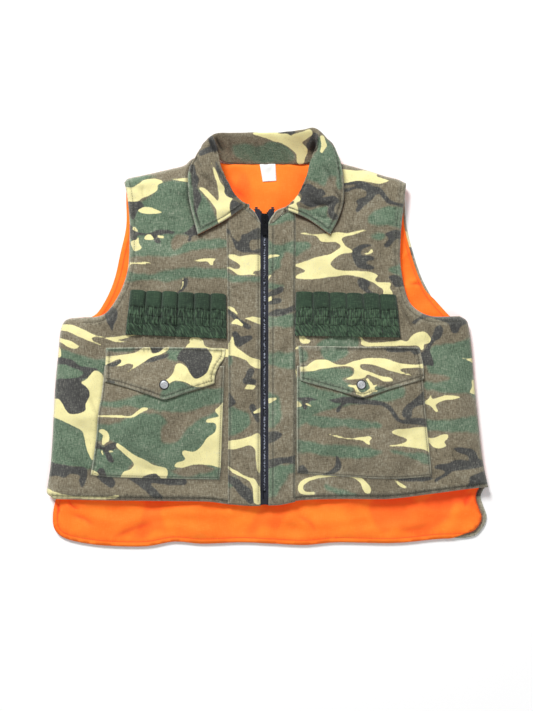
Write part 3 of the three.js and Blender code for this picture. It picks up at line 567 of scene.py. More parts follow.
def shape(x, y, outline):
    """Distance in mm from each point to a closed outline, negative inside it."""
    loop = spline([outline[-1], *outline, outline[0], outline[1]], 2.5)
    start = np.argmin(np.linalg.norm(loop - outline[0], axis=1))
    stop = len(loop) - np.argmin(np.linalg.norm(loop[::-1] - outline[0], axis=1)) - 1
    loop = loop[start : stop + 1]
    return near(x, y, loop)[0] * np.where(inside(x, y, loop[:-1]), -1, 1)


def printed(x, y, name):
    """For each colour, the distance in mm to the edge of its nearest patch."""
    found = {}
    for colour in ("green", "charcoal", "cream"):
        best = np.full(np.shape(x), 12.0)
        for points in PRINT[name][colour]:
            low, high = np.min(points, axis=0) - 16, np.max(points, axis=0) + 16
            close = (x > low[0]) & (x < high[0]) & (y > low[1]) & (y < high[1])
            measure = stroke if len(points[0]) == 3 else shape
            best[close] = np.minimum(best[close], measure(x[close], y[close], points))
        found[colour] = best
    return found


# ---- meshes ----
def new_mesh(name, points, faces, materials, smooth=True):
    """A mesh object from millimetre points."""
    mesh = bpy.data.meshes.new(name)
    spots = [tuple(p) for p in np.asarray(points) * MM]
    mesh.from_pydata(spots, [], [tuple(int(i) for i in f) for f in faces])
    mesh.polygons.foreach_set("use_smooth", [smooth] * len(mesh.polygons))
    mesh.update()
    obj = bpy.data.objects.new(name, mesh)
    bpy.context.scene.collection.objects.link(obj)
    for material in materials:
        mesh.materials.append(material)
    return obj


def keep(obj, **fields):
    """Stores numbers on the points, for the material to read."""
    for name, values in fields.items():
        layer = obj.data.attributes.new(name, "FLOAT", "POINT")
        layer.data.foreach_set("value", np.asarray(values, np.float32))


def keep_place(obj, points):
    """Stores where each point lies at rest, so that a pattern stays on cloth that bends."""
    layer = obj.data.attributes.new("place", "FLOAT_VECTOR", "POINT")
    layer.data.foreach_set("vector", (np.asarray(points, np.float32) * MM).ravel())


def thicken(obj, thickness):
    """Gives a one-sided cloth its thickness, on the side away from its normals."""
    solid = obj.modifiers.new("cloth", "SOLIDIFY")
    solid.thickness = thickness * MM
    solid.offset = -1.0
    solid.use_even_offset = False
    return obj


def flipped(faces):
    """The same faces, seen from the other side."""
    return [face[::-1] for face in faces]


def inside(x, y, loop):
    """Which points lie inside a closed loop."""
    result = np.zeros(np.shape(x), bool)
    for (ax, ay), (bx, by) in zip(loop, np.roll(loop, -1, axis=0)):
        if ay == by:
            continue
        crosses = (ay > y) != (by > y)
        result ^= crosses & (x < (bx - ax) * (y - ay) / (by - ay) + ax)
    return result


def fill(loop, step, lines=()):
    """Points and triangles that fill a closed loop, with finer rows along the lines sewn in it."""
    low, high = loop.min(0), loop.max(0)
    rows = np.arange(low[1], high[1], step * 0.866)
    columns = np.arange(low[0], high[0], step)
    gx, gy = np.meshgrid(columns, rows)
    gx = gx + (np.arange(len(rows)) % 2)[:, None] * step / 2
    gx, gy = gx.ravel(), gy.ravel()
    held = inside(gx, gy, loop)
    gx, gy = gx[held], gy[held]
    closed = np.vstack([loop, loop[:1]])
    clear = near(gx, gy, closed)[0] > step * 0.6
    fine = []
    for line in lines:
        rows = np.vstack([offset_path(spline(line, 0.8 * step), across) for across in (-1.5, 0, 1.5)])
        away = np.minimum.reduce([near(*rows.T, closed)[0]] + [near(*rows.T, other)[0] for other in fine])
        fine.append(rows[inside(*rows.T, loop) & (away > 1.2)])
        clear &= near(gx, gy, line)[0] > 1.5 + step * 0.6
    points = np.vstack([loop, *fine, np.stack([gx[clear], gy[clear]], 1)])
    count = len(loop)
    edges = [(i, (i + 1) % count) for i in range(count)]
    found = delaunay_2d_cdt([Vector(p) for p in points], edges, [], 1, 1e-4)
    flat = np.array([tuple(p) for p in found[0]])
    faces = []
    for face in found[2]:
        a, b, c = (flat[i] for i in face[:3])
        turn = (b[0] - a[0]) * (c[1] - a[1]) - (b[1] - a[1]) * (c[0] - a[0])
        faces.append(tuple(face) if turn > 0 else tuple(reversed(face)))
    return flat, faces


class Cut:
    """A flat cloth outline made of named edges. Each kind of edge has its own height and roll."""

    def __init__(self, edges, step):
        self.step = step
        self.parts = [(kind, spline(points, step)) for kind, points in edges]
        self.loop = np.vstack([part[:-1] for _, part in self.parts])
        self.closed = np.vstack([self.loop, self.loop[:1]])

    def inset(self, distance):
        """The same outline, this far inside. The distance is a number, or a function of x and y."""
        smaller = Cut.__new__(Cut)
        smaller.step = self.step
        ring = np.vstack([self.loop[-1:], self.loop, self.loop[:1]])
        if not np.isscalar(distance):
            distance = distance(*ring.T)[:, None]
        smaller.loop = offset_path(ring, distance)[1:-1]
        smaller.closed = np.vstack([smaller.loop, smaller.loop[:1]])
        smaller.parts, start = [], 0
        for kind, part in self.parts:
            smaller.parts.append((kind, smaller.closed[start : start + len(part)]))
            start += len(part) - 1
        return smaller

    def fill(self, lines=()):
        return fill(self.loop, self.step, lines)

    def edge(self, x, y):
        """Distance from each point to the outline."""
        return near(x, y, self.closed)[0]

    def path(self, kind):
        """Every edge of this kind."""
        return [part for name, part in self.parts if name == kind]

    def mixed(self, x, y, table):
        """The table's values for the nearby edges, mixed by nearness so that no corner shows a crease."""
        weight = np.zeros(np.shape(x))
        total = [np.zeros(np.shape(x)) for _ in next(iter(table.values()))]
        for kind, part in self.parts:
            w = 1 / (near(x, y, part)[0] + 1.5) ** 4
            weight += w
            for share, value in zip(total, table[kind]):
                share += w * value
        return [t / weight for t in total]


def straight_cut(corners, step):
    """An outline with straight edges between these corners."""
    return Cut([("edge", [a, b]) for a, b in zip(corners, corners[1:] + corners[:1])], step)


def signed_area(loop):
    """A loop's area in square millimetres, negative when it runs clockwise."""
    x, y = loop[:, 0], loop[:, 1]
    return np.sum(x * np.roll(y, -1) - y * np.roll(x, -1)) / 2


def rolled(distance, width):
    """0 at an edge, rising to 1 over `width` as a quarter round."""
    t = np.clip(distance / width, 0, 1)
    return np.sqrt(1 - (1 - t) ** 2)


def grid_faces(rows):
    """Faces of a grid of points, row by row."""
    n, m = len(rows), len(rows[0])
    return [(i * m + j, i * m + j + 1, (i + 1) * m + j + 1, (i + 1) * m + j)
            for i in range(n - 1) for j in range(m - 1)]


def offset_path(path, distance):
    """The path moved to its left."""
    way = np.gradient(path, axis=0)
    way /= np.linalg.norm(way, axis=1)[:, None]
    return path + np.stack([-way[:, 1], way[:, 0]], 1) * distance


STITCH = {"length": 3.0, "gap": 0.9, "radius": 0.32}


def laid(path, height):
    """A flat path placed on a surface."""
    path = np.asarray(path, float)
    return np.column_stack([path[:, 0], path[:, 1], height(path[:, 0], path[:, 1])])


def stitches(name, paths, material, size=1.0):
    """Rows of sewn thread along 3-D paths. Each stitch is a short capsule that dips in at both ends."""
    verts, faces = [], []
    length, gap, radius = (STITCH[key] * size for key in ("length", "gap", "radius"))
    share = np.array([0.0, 0.18, 0.5, 0.82, 1.0])
    fat = np.array([0.35, 0.95, 1.0, 0.95, 0.35]) * radius
    lift = np.array([-1.9, -0.3, 0.4, -0.3, -1.9]) * radius
    ring = 2 * math.pi * np.arange(5) / 5
    for path in paths:
        run = np.concatenate([[0], np.cumsum(np.linalg.norm(np.diff(path, axis=0), axis=1))])
        starts = np.arange(0.5, run[-1] - length, length + gap)
        for start in starts:
            at = start + share * length
            x, y, z = (np.interp(at, run, path[:, k]) for k in range(3))
            way = np.array([x[-1] - x[0], y[-1] - y[0]])
            way /= max(np.linalg.norm(way), 1e-9)
            base = len(verts)
            for i in range(5):
                across = np.cos(ring) * fat[i]
                up = z[i] + lift[i] + np.sin(ring) * fat[i]
                verts.extend(zip(x[i] - way[1] * across, y[i] + way[0] * across, up))
            faces += [(base + i * 5 + k, base + (i + 1) * 5 + k, base + (i + 1) * 5 + (k + 1) % 5,
                       base + i * 5 + (k + 1) % 5) for i in range(4) for k in range(5)]
            faces += [tuple(range(base, base + 5)), tuple(range(base + 24, base + 19, -1))]
    return new_mesh(name, verts, faces, [material])


# ---- materials ----
def material(name, roughness=0.9, metallic=0.0, sheen=0.0):
    m = bpy.data.materials.new(name)
    m.use_nodes = True
    shader = m.node_tree.nodes["Principled BSDF"]
    shader.inputs["Roughness"].default_value = roughness
    shader.inputs["Metallic"].default_value = metallic
    shader.inputs["Sheen Weight"].default_value = sheen
    return m


class Nodes:
    """Short names for adding shader nodes to a material."""

    def __init__(self, m):
        self.tree = m.node_tree
        self.shader = self.tree.nodes["Principled BSDF"]

    def add(self, kind, inputs=None, **settings):
        node = self.tree.nodes.new(kind)
        for key, value in settings.items():
            setattr(node, key, value)
        for key, value in (inputs or {}).items():
            if isinstance(value, bpy.types.NodeSocket):
                self.tree.links.new(value, node.inputs[key])
            else:
                node.inputs[key].default_value = value
        return node

    def math(self, operation, a, b=0.0, c=0.0):
        return self.add("ShaderNodeMath", {0: a, 1: b, 2: c}, operation=operation).outputs[0]

    def field(self, name):
        return self.add("ShaderNodeAttribute", attribute_name=name).outputs["Fac"]

    def place(self, scale=(1, 1, 1)):
        where = self.add("ShaderNodeAttribute", attribute_name="place").outputs["Vector"]
        return self.add("ShaderNodeMapping", {"Vector": where, "Scale": scale}).outputs[0]

    def object_place(self, scale=(1, 1, 1)):
        where = self.add("ShaderNodeTexCoord").outputs["Object"]
        return self.add("ShaderNodeMapping", {"Vector": where, "Scale": scale}).outputs[0]

    def noise(self, vector, scale, detail=2.0, roughness=0.5):
        inputs = {"Vector": vector, "Scale": scale, "Detail": detail, "Roughness": roughness}
        return self.add("ShaderNodeTexNoise", inputs).outputs["Fac"]

    def step(self, value, low, high):
        inputs = {"Value": value, "From Min": low, "From Max": high}
        return self.add("ShaderNodeMapRange", inputs, interpolation_type="SMOOTHSTEP").outputs["Result"]

    def mix(self, factor, a, b, blend="MIX"):
        node = self.add("ShaderNodeMix", data_type="RGBA", blend_type=blend)
        for index, value in ((0, factor), (6, a), (7, b)):
            if isinstance(value, bpy.types.NodeSocket):
                self.tree.links.new(value, node.inputs[index])
            else:
                node.inputs[index].default_value = value
        return node.outputs[2]

    def weave(self, vector, pitch, strength):
        """Plain weave: warp and weft threads as two crossed waves, with uneven yarn."""
        waves_ = []
        for direction in ("X", "Y"):
            inputs = {"Vector": vector, "Scale": 1 / (pitch * MM * 3.2), "Distortion": 0.6, "Detail": 1.0,
                      "Detail Scale": 2.0}
            waves_.append(self.add("ShaderNodeTexWave", inputs, bands_direction=direction).outputs["Fac"])
        threads = self.math("MAXIMUM", *waves_)
        return self.bump(threads, strength, 0.0004)

    def bump(self, height, strength, distance=0.0002):
        """Fine relief, `distance` metres deep."""
        inputs = {"Height": height, "Strength": strength, "Distance": distance}
        return self.add("ShaderNodeBump", inputs).outputs[0]

    def colour(self, socket):
        self.tree.links.new(socket, self.shader.inputs["Base Color"])

    def normal(self, socket):
        self.tree.links.new(socket, self.shader.inputs["Normal"])


def srgb(r, g, b):
    """A colour given as it looks on a screen, 0 to 255."""
    shares = (r / 255, g / 255, b / 255)
    return (*(c / 12.92 if c < 0.04045 else ((c + 0.055) / 1.055) ** 2.4 for c in shares), 1.0)


BROWN = srgb(128, 118, 96)
GREEN = srgb(99, 122, 98)
CHARCOAL = srgb(72, 72, 70)
CREAM = srgb(251, 241, 174)


def camouflage():
    """Printed cloth: the patches' edges are stored on the points, and the yarn shows through the dye."""
    m = material("camouflage_cloth", 0.92, sheen=0.15)
    n = Nodes(m)
    place = n.place()
    wobble = n.math("MULTIPLY_ADD", n.noise(place, 60, 2, 0.45), 7.0, -3.5)
    frayed = n.math("MULTIPLY_ADD", n.noise(place, 900, 1), 1.2, -0.6)

    def patch(name, soft, extra=1.0):
        moved = n.math("ADD", n.math("MULTIPLY_ADD", wobble, extra, n.field(name)), frayed)
        return n.step(moved, soft, -soft)

    colour = n.mix(patch("green", 3.0, 1.3), BROWN, GREEN)
    charcoal = patch("charcoal", 1.2, 0.6)
    colour = n.mix(charcoal, colour, CHARCOAL)
    cream = patch("cream", 0.55, 0.45)
    colour = n.mix(cream, colour, CREAM)
    # Faded yarn: fine light and dark threads both ways, in soft larger patches.
    warp = n.noise(n.place((1.0, 0.16, 1.0)), 900, 2, 0.6)
    weft = n.noise(n.place((0.16, 1.0, 1.0)), 900, 2, 0.6)
    threads = n.math("SUBTRACT", n.math("MULTIPLY_ADD", warp, 1.15, n.math("MULTIPLY", weft, 0.85)), 1.0)
    patches = n.math("SUBTRACT", n.noise(place, 26, 3), 0.5)
    light = n.math("MULTIPLY_ADD", patches, 0.45, threads)
    worn = n.math("MULTIPLY", n.field("wear"), n.math("ADD", 0.2, n.noise(place, 260, 2)))
    bright = n.math("MULTIPLY_ADD", n.step(light, -0.02, 0.42), 0.42, n.math("MULTIPLY", worn, 0.7))
    bright = n.math("MULTIPLY", bright, n.math("MULTIPLY_ADD", charcoal, -0.4, 1.0))
    lighter = n.mix(bright, colour, srgb(206, 206, 186))
    dark = n.math("MULTIPLY", n.step(light, 0.02, -0.42), n.math("MULTIPLY_ADD", cream, -0.5, 0.7))
    darker = n.mix(dark, lighter, srgb(30, 30, 26))
    # Painted shade: the colour is darkened in creases, along sewn lines and under the edges of other
    # pieces.
    shade = n.math("SUBTRACT", 1.0, n.math("MULTIPLY", n.field("crease"), 0.75))
    grey = n.add("ShaderNodeCombineColor", {0: shade, 1: shade, 2: shade}).outputs[0]
    n.colour(n.mix(1.0, darker, grey, "MULTIPLY"))
    n.normal(n.weave(place, 0.55, 0.5))
    return m


def dyed_cloth(name, colour, light, dark, pitch=0.35, roughness=0.8, sheen=0.25, grain=0.25,
               deep=(0, 0, 0, 1)):
    """Plain dyed cloth with uneven yarn and soft patches. Painted shade in creases and along sewn lines
    turns it towards `deep`.
    """
    m = material(name, roughness, sheen=sheen)
    n = Nodes(m)
    place = n.place()
    tone = n.mix(n.step(n.noise(place, 20, 3), 0.35, 0.7), dark, colour)
    yarn = n.math("ADD", n.noise(n.place((1, 0.12, 1)), 900, 2), n.noise(n.place((0.12, 1, 1)), 900, 2))
    tone = n.mix(n.math("MULTIPLY", n.step(yarn, 0.9, 1.35), grain), tone, light)
    # Wear turns the colour towards `light`. On the holders this field also carries a painted highlight.
    tone = n.mix(n.math("MULTIPLY", n.field("wear"), 0.8), tone, light)
    n.colour(n.mix(n.math("MULTIPLY", n.field("crease"), 0.75), tone, deep))
    n.normal(n.weave(place, pitch, 0.35))
    return m


def thread(name, colour, dark):
    """Sewing thread, a little uneven in colour."""
    m = material(name, 0.75, sheen=0.3)
    n = Nodes(m)
    n.colour(n.mix(n.noise(n.object_place(), 900, 2), dark, colour))
    return m


def hard(name, colour, dark, roughness, metallic):
    """Moulded or metal finish: faint mottling and fine scratches."""
    m = material(name, roughness, metallic)
    n = Nodes(m)
    place = n.object_place()
    n.colour(n.mix(n.step(n.noise(place, 400, 3), 0.3, 0.75), dark, colour))
    n.normal(n.bump(n.noise(n.object_place((1, 0.1, 1)), 1600, 2), 0.12))
    return m


def snap_metal(x, y):
    """Grained metal, darker outside a dome 11 mm wide, centred on the stud."""
    m = material("snap_metal", 0.38, 0.7)
    n = Nodes(m)
    place = n.object_place()
    stud = (x * MM, y * MM, 0)
    centred = n.add("ShaderNodeVectorMath", {0: place, 1: stud}, operation="SUBTRACT").outputs[0]
    flat = n.add("ShaderNodeVectorMath", {0: centred, 1: (1, 1, 0)}, operation="MULTIPLY").outputs[0]
    radius = n.add("ShaderNodeVectorMath", {0: flat}, operation="LENGTH").outputs["Value"]
    mottled = n.mix(n.step(n.noise(place, 700, 3), 0.3, 0.7), srgb(178, 182, 186), srgb(238, 240, 242))
    rim = n.step(radius, 0.0055, 0.0060)
    n.colour(n.mix(rim, mottled, srgb(66, 68, 72)))
    n.normal(n.bump(n.noise(place, 1500, 2), 0.15))
    return m


def moulded_teeth():
    """Navy plastic, with a painted highlight in specks on the teeth's crowns."""
    m = material("navy_teeth", 0.5)
    n = Nodes(m)
    place = n.object_place()
    axes = n.add("ShaderNodeSeparateXYZ", {"Vector": place}).outputs
    aside = n.math("ABSOLUTE", n.math("SUBTRACT", axes["X"], ZIP_X * MM))
    crown = n.math("MULTIPLY", n.step(axes["Z"], 0.0182, 0.0185), n.step(aside, 0.0015, 0.0009))
    glint = n.math("MULTIPLY", crown, n.step(n.noise(place, 420, 2), 0.42, 0.66))
    n.colour(n.mix(glint, srgb(20, 23, 34), srgb(190, 196, 214)))
    n.normal(n.bump(n.noise(place, 1800, 2), 0.1))
    return m


CAMO = camouflage()
# The orange's painted shade, in creases and along sewn lines, turns towards a deep red.
ORANGE = dyed_cloth("orange_cloth", srgb(255, 135, 30), srgb(255, 158, 62), srgb(255, 119, 20), sheen=0.0,
                    deep=srgb(236, 52, 10))
# Painted glow: the orange cloth gives out a little light of its own, which lifts its shade. Blaze orange
# dye is fluorescent.
painted_glow = ORANGE.node_tree.nodes["Principled BSDF"].inputs
painted_glow["Emission Color"].default_value = srgb(255, 84, 10)
painted_glow["Emission Strength"].default_value = 0.16
ELASTIC = dyed_cloth("elastic", srgb(42, 66, 46), srgb(78, 104, 76), srgb(30, 50, 34),
                     0.8, 0.9, 0.2, 0.45)
LABEL = dyed_cloth("label", srgb(246, 246, 244), srgb(252, 252, 252), srgb(236, 236, 232), 0.3, 0.6, 0.1)
TAPE = dyed_cloth("zip_tape", srgb(34, 37, 52), srgb(66, 71, 92), srgb(24, 26, 38), 0.5, 0.85, 0.1, 0.4)
TEETH = moulded_teeth()
MOULDED = hard("navy_plastic", srgb(30, 33, 44), srgb(20, 22, 32), 0.45, 0.0)
BLACK = hard("black_metal", srgb(34, 35, 40), srgb(18, 18, 22), 0.3, 0.6)
KHAKI = thread("khaki_thread", srgb(96, 96, 76), srgb(64, 66, 52))
RED = thread("orange_thread", srgb(232, 74, 24), srgb(196, 54, 16))
GREEN_THREAD = thread("green_thread", srgb(74, 110, 80), srgb(48, 78, 56))
WHITE = thread("white_thread", srgb(240, 240, 238), srgb(214, 214, 212))


# ---- where the cloth bends when a front opens ----
# From the neck end of the shoulder seam to the side of the hem: outside this line the front stays down.
FOLD = {
    "left": {"top": (76, 275), "foot": (305, -224), "sign": 1},
    "right": {"top": (-80, 275), "foot": (-305, -238), "sign": -1},
}


def bend(obj):
    """Bakes the object's transform into its mesh."""
    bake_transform(obj)


# ---- the shape of the collar ----
# Stations from the middle of the back round to the front edge. Each runs from the neck seam, up the
# stand, over the roll and down the leaf to the outer edge.
COLLAR = {
    "left": [
        [(-3, 266.5, 6), (-3, 285, 17), (-3, 308, 30), (-3, 311, 20), (-3, 304, 6)],
        [(30, 266.5, 6), (31, 286, 17), (32, 309, 30), (33, 312, 20), (34, 304, 6)],
        [(58, 267.5, 7), (61, 287, 16), (67, 312, 32), (71, 314, 23), (74, 305, 9)],
        [(74, 274, 12), (69, 287, 19), (72, 302, 36), (86, 303, 28), (95, 298, 14)],
        [(73, 262, 16.5), (68, 271, 23), (67.5, 281, 35), (89, 285, 31.5), (105, 277, 24)],
        [(69, 246, 18.5), (66, 252, 23.5), (62.5, 261, 32.5), (90, 263, 31), (110, 260, 24.2)],
        [(61, 227, 20.2), (58, 231, 24), (55, 239, 30.5), (86, 239, 29), (113, 237, 24.2)],
        [(49, 210, 20.4), (47, 213, 23.6), (46, 218, 29), (82, 215, 28), (112, 206, 24.2)],
        [(33, 199, 20.4), (35, 201, 23), (36, 206, 28), (71, 194, 27), (104, 181, 24.2)],
        [(16, 190, 20.4), (19, 190, 22), (24, 195, 25.5), (58, 181.5, 25.5), (92, 158, 24.2)],
    ],
    "right": [
        [(-3, 266.5, 6), (-3, 285, 17), (-3, 308, 30), (-3, 311, 20), (-3, 304, 6)],
        [(-35, 267, 6), (-36, 286, 17), (-37, 307, 30), (-38, 311, 20), (-38, 304, 6)],
        [(-62, 269, 7), (-68, 287, 16), (-77, 307, 32), (-82, 308, 23), (-86, 301, 9)],
        [(-79, 273, 12), (-77, 285, 19), (-81, 298, 36), (-94, 297, 28), (-102, 288, 15)],
        [(-80, 258, 16.5), (-76, 266, 23), (-75, 276, 35), (-96, 280, 31.5), (-112, 272, 24)],
        [(-77, 242, 18.5), (-74, 248, 23.5), (-70, 257, 32.5), (-96, 258, 31), (-120, 254, 24.2)],
        [(-69, 226, 20.2), (-66, 230, 24), (-62, 237, 30.5), (-94, 235, 29), (-121, 230, 24.2)],
        [(-57, 211, 20.4), (-55, 214, 23.6), (-53, 220, 29), (-88, 213, 28), (-118, 205, 24.2)],
        [(-42, 202, 20.4), (-43, 204, 23), (-43, 208, 28), (-79, 194, 27), (-112, 181, 24.2)],
        [(-27, 195, 20.4), (-29, 196, 22), (-31, 202, 25.5), (-66, 179, 25.5), (-106, 158, 24.2)],
    ],
}
# The leaves' sharp creases, seen from above.
COLLAR_CREASES = {
    "left": [
        ([(74, 303), (70, 290), (66, 276)], 3.4, 4.5),
        ([(58, 212), (82, 202), (104, 214)], 1.8, 4.0),
        ([(94, 230), (106, 214), (108, 196)], 1.6, 3.0),
        ([(66, 192), (84, 184), (100, 190)], 1.2, 3.0),
        ([(80, 262), (92, 246), (96, 228)], 0.9, 4.0),
        ([(40, 205), (54, 198), (70, 199)], 1.2, 3.0),
    ],
    "right": [
        ([(-90, 304), (-84, 291), (-76, 274)], 3.6, 4.5),
        ([(-80, 306), (-74, 294), (-66, 282)], 2.0, 3.5),
        ([(-112, 280), (-104, 264), (-96, 254)], 1.2, 3.0),
        ([(-104, 250), (-88, 240), (-78, 226)], 0.9, 3.4),
        ([(-60, 304), (-56, 290), (-58, 276)], 1.0, 3.0),
        ([(-20, 302), (-16, 288), (-18, 276)], 0.8, 4.0),
    ],
}
CORNER = 3  # the station where the back band ends and the leaf begins
PER_STATION = 13  # rows of points from each station to the next
PER_SPAN = 12  # columns from each of a station's points to the next
TOPSTITCH = 6.0  # from the collar's edge to its stitched row


def collar_grid(side):
    """The collar's outer face as rows of points, each from the neck seam to the outer edge."""
    net = np.array(COLLAR[side], float)
    spans = curve(net.transpose(1, 0, 2), [PER_SPAN] * (net.shape[1] - 1)).transpose(1, 0, 2)
    return curve(spans, [PER_STATION] * (len(net) - 1))


# ---- the shape of the pockets ----
POCKETS = {
    "left": [
        ("side", [(42.5, -38), (42, -110), (42.5, -180), (43.5, -199)]),
        ("foot", [(43.5, -199), (70, -201), (110, -204), (163, -206.5), (205, -206.5), (245, -203.5)]),
        ("side", [(245, -203.5), (241, -160), (236, -112), (231, -62), (228.5, -38)]),
        ("mouth", [(228.5, -38), (42.5, -38)]),
    ],
    "right": [
        ("side", [(-246, -38), (-250, -80), (-254, -104), (-257.5, -138), (-262, -172), (-267, -202)]),
        ("foot", [(-267, -202), (-240, -205), (-190, -206.5), (-120, -208), (-73.5, -209)]),
        ("side", [(-73.5, -209), (-71, -186), (-68.5, -112), (-66, -38)]),
        ("mouth", [(-66, -38), (-246, -38)]),
    ],
}


# ---- the fronts ----
CUTS = {name: Cut(edges, 3.6 if name == "back" else 2.7) for name, edges in OUTLINES.items()}
# For each kind of edge, the height where the outer cloth ends and the width of its roll.
SHELL_EDGE = {
    "zip": (FRONT_TOP - 0.6, 3),
    "hem": (FRONT_TOP - 3.4, 7),
    "side": (9.2, 34),
    "armhole": (FRONT_TOP - 4, 8),
    "shoulder": (9.5, 22),
    "neck": (FRONT_TOP - 3, 6),
}
LINING_EDGE = {
    "zip": (FRONT_TOP - 4.6, 4),
    "hem": (FRONT_TOP - 4.6, 7),
    "side": (8.4, 30),
    "armhole": (FRONT_TOP - 5.2, 8),
    "shoulder": (8.2, 22),
    "neck": (FRONT_TOP - 4.2, 6),
}


def puckers(x, y, paths, reach, size, length, seed):
    """Short gathers that run out from a sewn line."""
    total = np.zeros(np.shape(x))
    for i, path in enumerate(paths):
        d, s = near(x, y, path)
        wander = waves(s, s * 0, length * 5, seed + i, 8)
        total += size * fade(d, reach) * np.sin(2 * math.pi * s / length + 2.2 * wander)
    return total


def pucker_shade(x, y, paths, reach, length, seed):
    """Short lines of painted shade across a sewn row, where its puckers fold the cloth."""
    close = fade(near(x, y, np.vstack(paths))[0], reach)
    return close * ease(puckers(x, y, paths, 9, 1, length, seed))


def slack_cloth(cut, sewn, spacing, spare, cap, seed):
    """The height of the wrinkles in cloth a little too big for its seams, as a function of x and y.

    A square net is cut `spare` too large, held along the outline and the sewn lines, and left to settle.
    """
    low, high = cut.loop.min(0) - 3 * spacing, cut.loop.max(0) + 3 * spacing
    gx, gy = np.meshgrid(*(np.arange(a, b, spacing) for a, b in zip(low, high)))
    edge = np.where(inside(gx, gy, cut.loop), cut.edge(gx, gy), 0)
    held = (edge < 4) | (np.minimum.reduce([near(gx, gy, path)[0] for path in sewn]) < 0.5 * spacing)
    start = 0.5 * waves(gx, gy, 46, seed) * ease(edge / 20)
    net = new_mesh("net", np.stack([gx, gy, start], 2).reshape(-1, 3), grid_faces(gx), [])
    net.vertex_groups.new(name="held").add(np.flatnonzero(held).tolist(), 1.0, "REPLACE")
    cloth = net.modifiers.new("cloth", "CLOTH")
    settings = cloth.settings
    settings.mass, settings.air_damping, settings.bending_stiffness = 0.2, 2, 5
    settings.vertex_group_mass = "held"
    settings.shrink_min = settings.shrink_max = -spare
    settings.effector_weights.gravity = 0
    cloth.collision_settings.use_collision = False
    for frame_no in range(1, SETTLING + 1):
        bpy.context.scene.frame_set(frame_no)
    settled = net.evaluated_get(bpy.context.evaluated_depsgraph_get()).data
    spots = np.empty(3 * len(settled.vertices))
    settled.vertices.foreach_get("co", spots)
    z = cap * np.tanh(spots[2::3].reshape(gx.shape) / MM / cap)
    for axis in (0, 1):
        z = 0.25 * np.roll(z, 1, axis) + 0.5 * z + 0.25 * np.roll(z, -1, axis)
    bpy.data.objects.remove(net)
    bpy.context.scene.frame_set(1)

    def weights(t):
        return [
            -0.5 * t + t**2 - 0.5 * t**3,
            1 - 2.5 * t**2 + 1.5 * t**3,
            0.5 * t + 2 * t**2 - 1.5 * t**3,
            0.5 * t**3 - 0.5 * t**2,
        ]

    def height(x, y):
        """The net's height, smooth between its points."""
        u = np.clip((np.asarray(x, float) - gx[0, 0]) / spacing, 1, gx.shape[1] - 3)
        v = np.clip((np.asarray(y, float) - gy[0, 0]) / spacing, 1, gx.shape[0] - 3)
        i, j = u.astype(int), v.astype(int)
        return sum(wu * wv * z[j - 1 + row, i - 1 + column] for column, wu in enumerate(weights(u - i))
                   for row, wv in enumerate(weights(v - j)))

    return height


def tapered(x, y, points, step, share):
    """Distance from a line, and a weight that fades out over this share of it at both ends."""
    d, s = near(x, y, spline(points, step))
    length = sum(math.dist(a, b) for a, b in zip(points, points[1:]))
    return d, ease(s / (share * length)) * ease((length - s) / (share * length))


def folds(x, y, lines):
    """The height of soft ridges. Each is its points, its height and its half-width."""
    total = np.zeros(np.shape(x))
    for points, height, width in lines:
        d, ends = tapered(x, y, points, 8, 0.25)
        total += height * fade(d, width) * ends
    return total


# Soft ridges in the fronts.
FRONT_FOLDS = {
    "left": [
        ([(196, 80), (212, 50), (240, 10)], 2.2, 9),
        ([(180, 90), (190, 150), (176, 200)], 1.4, 14),
        ([(252, 34), (262, -20), (258, -80)], 1.6, 12),
        ([(292, 20), (284, -60), (290, -150)], 1.2, 12),
        ([(270, -60), (278, -140), (300, -200)], 1.4, 11),
        ([(60, -228), (160, -226), (280, -214)], 0.9, 7),
        ([(60, 150), (90, 120), (150, 88)], 1.2, 16),
        ([(118, 250), (150, 215), (160, 180)], 1.3, 14),
    ],
    "right": [
        ([(-214, 92), (-226, 60), (-250, 16)], 2.0, 9),
        ([(-190, 96), (-196, 160), (-186, 215)], 1.3, 14),
        ([(-262, 26), (-268, -30), (-262, -100)], 1.5, 12),
        ([(-300, 10), (-292, -80), (-300, -160)], 1.2, 12),
        ([(-282, -120), (-292, -180), (-306, -222)], 1.5, 11),
        ([(-70, -230), (-180, -228), (-300, -226)], 0.9, 7),
        ([(-70, 150), (-110, 118), (-160, 92)], 1.2, 16),
        ([(-120, 240), (-150, 205), (-160, 170)], 1.3, 14),
    ],
}
WRINKLING = 0.95  # how much of the simulated wrinkles' height is used
SETTLING = 20  # frames that the simulated net takes to settle
HEM_ROW = 5.5  # from the hem to its stitched row
EDGE_ROW = 8  # the same for the armholes and the tail
# Where the strip and the pocket's mouth are sewn to the front.
FRONT_SEAMS = {
    "left": [np.array([(40.0, -242), (40, 205)]), np.array([(42.0, -10), (228, -12)])],
    "right": [np.array([(-61.0, -246), (-62, 215)]), np.array([(-64.0, -12), (-246, -12)])],
}
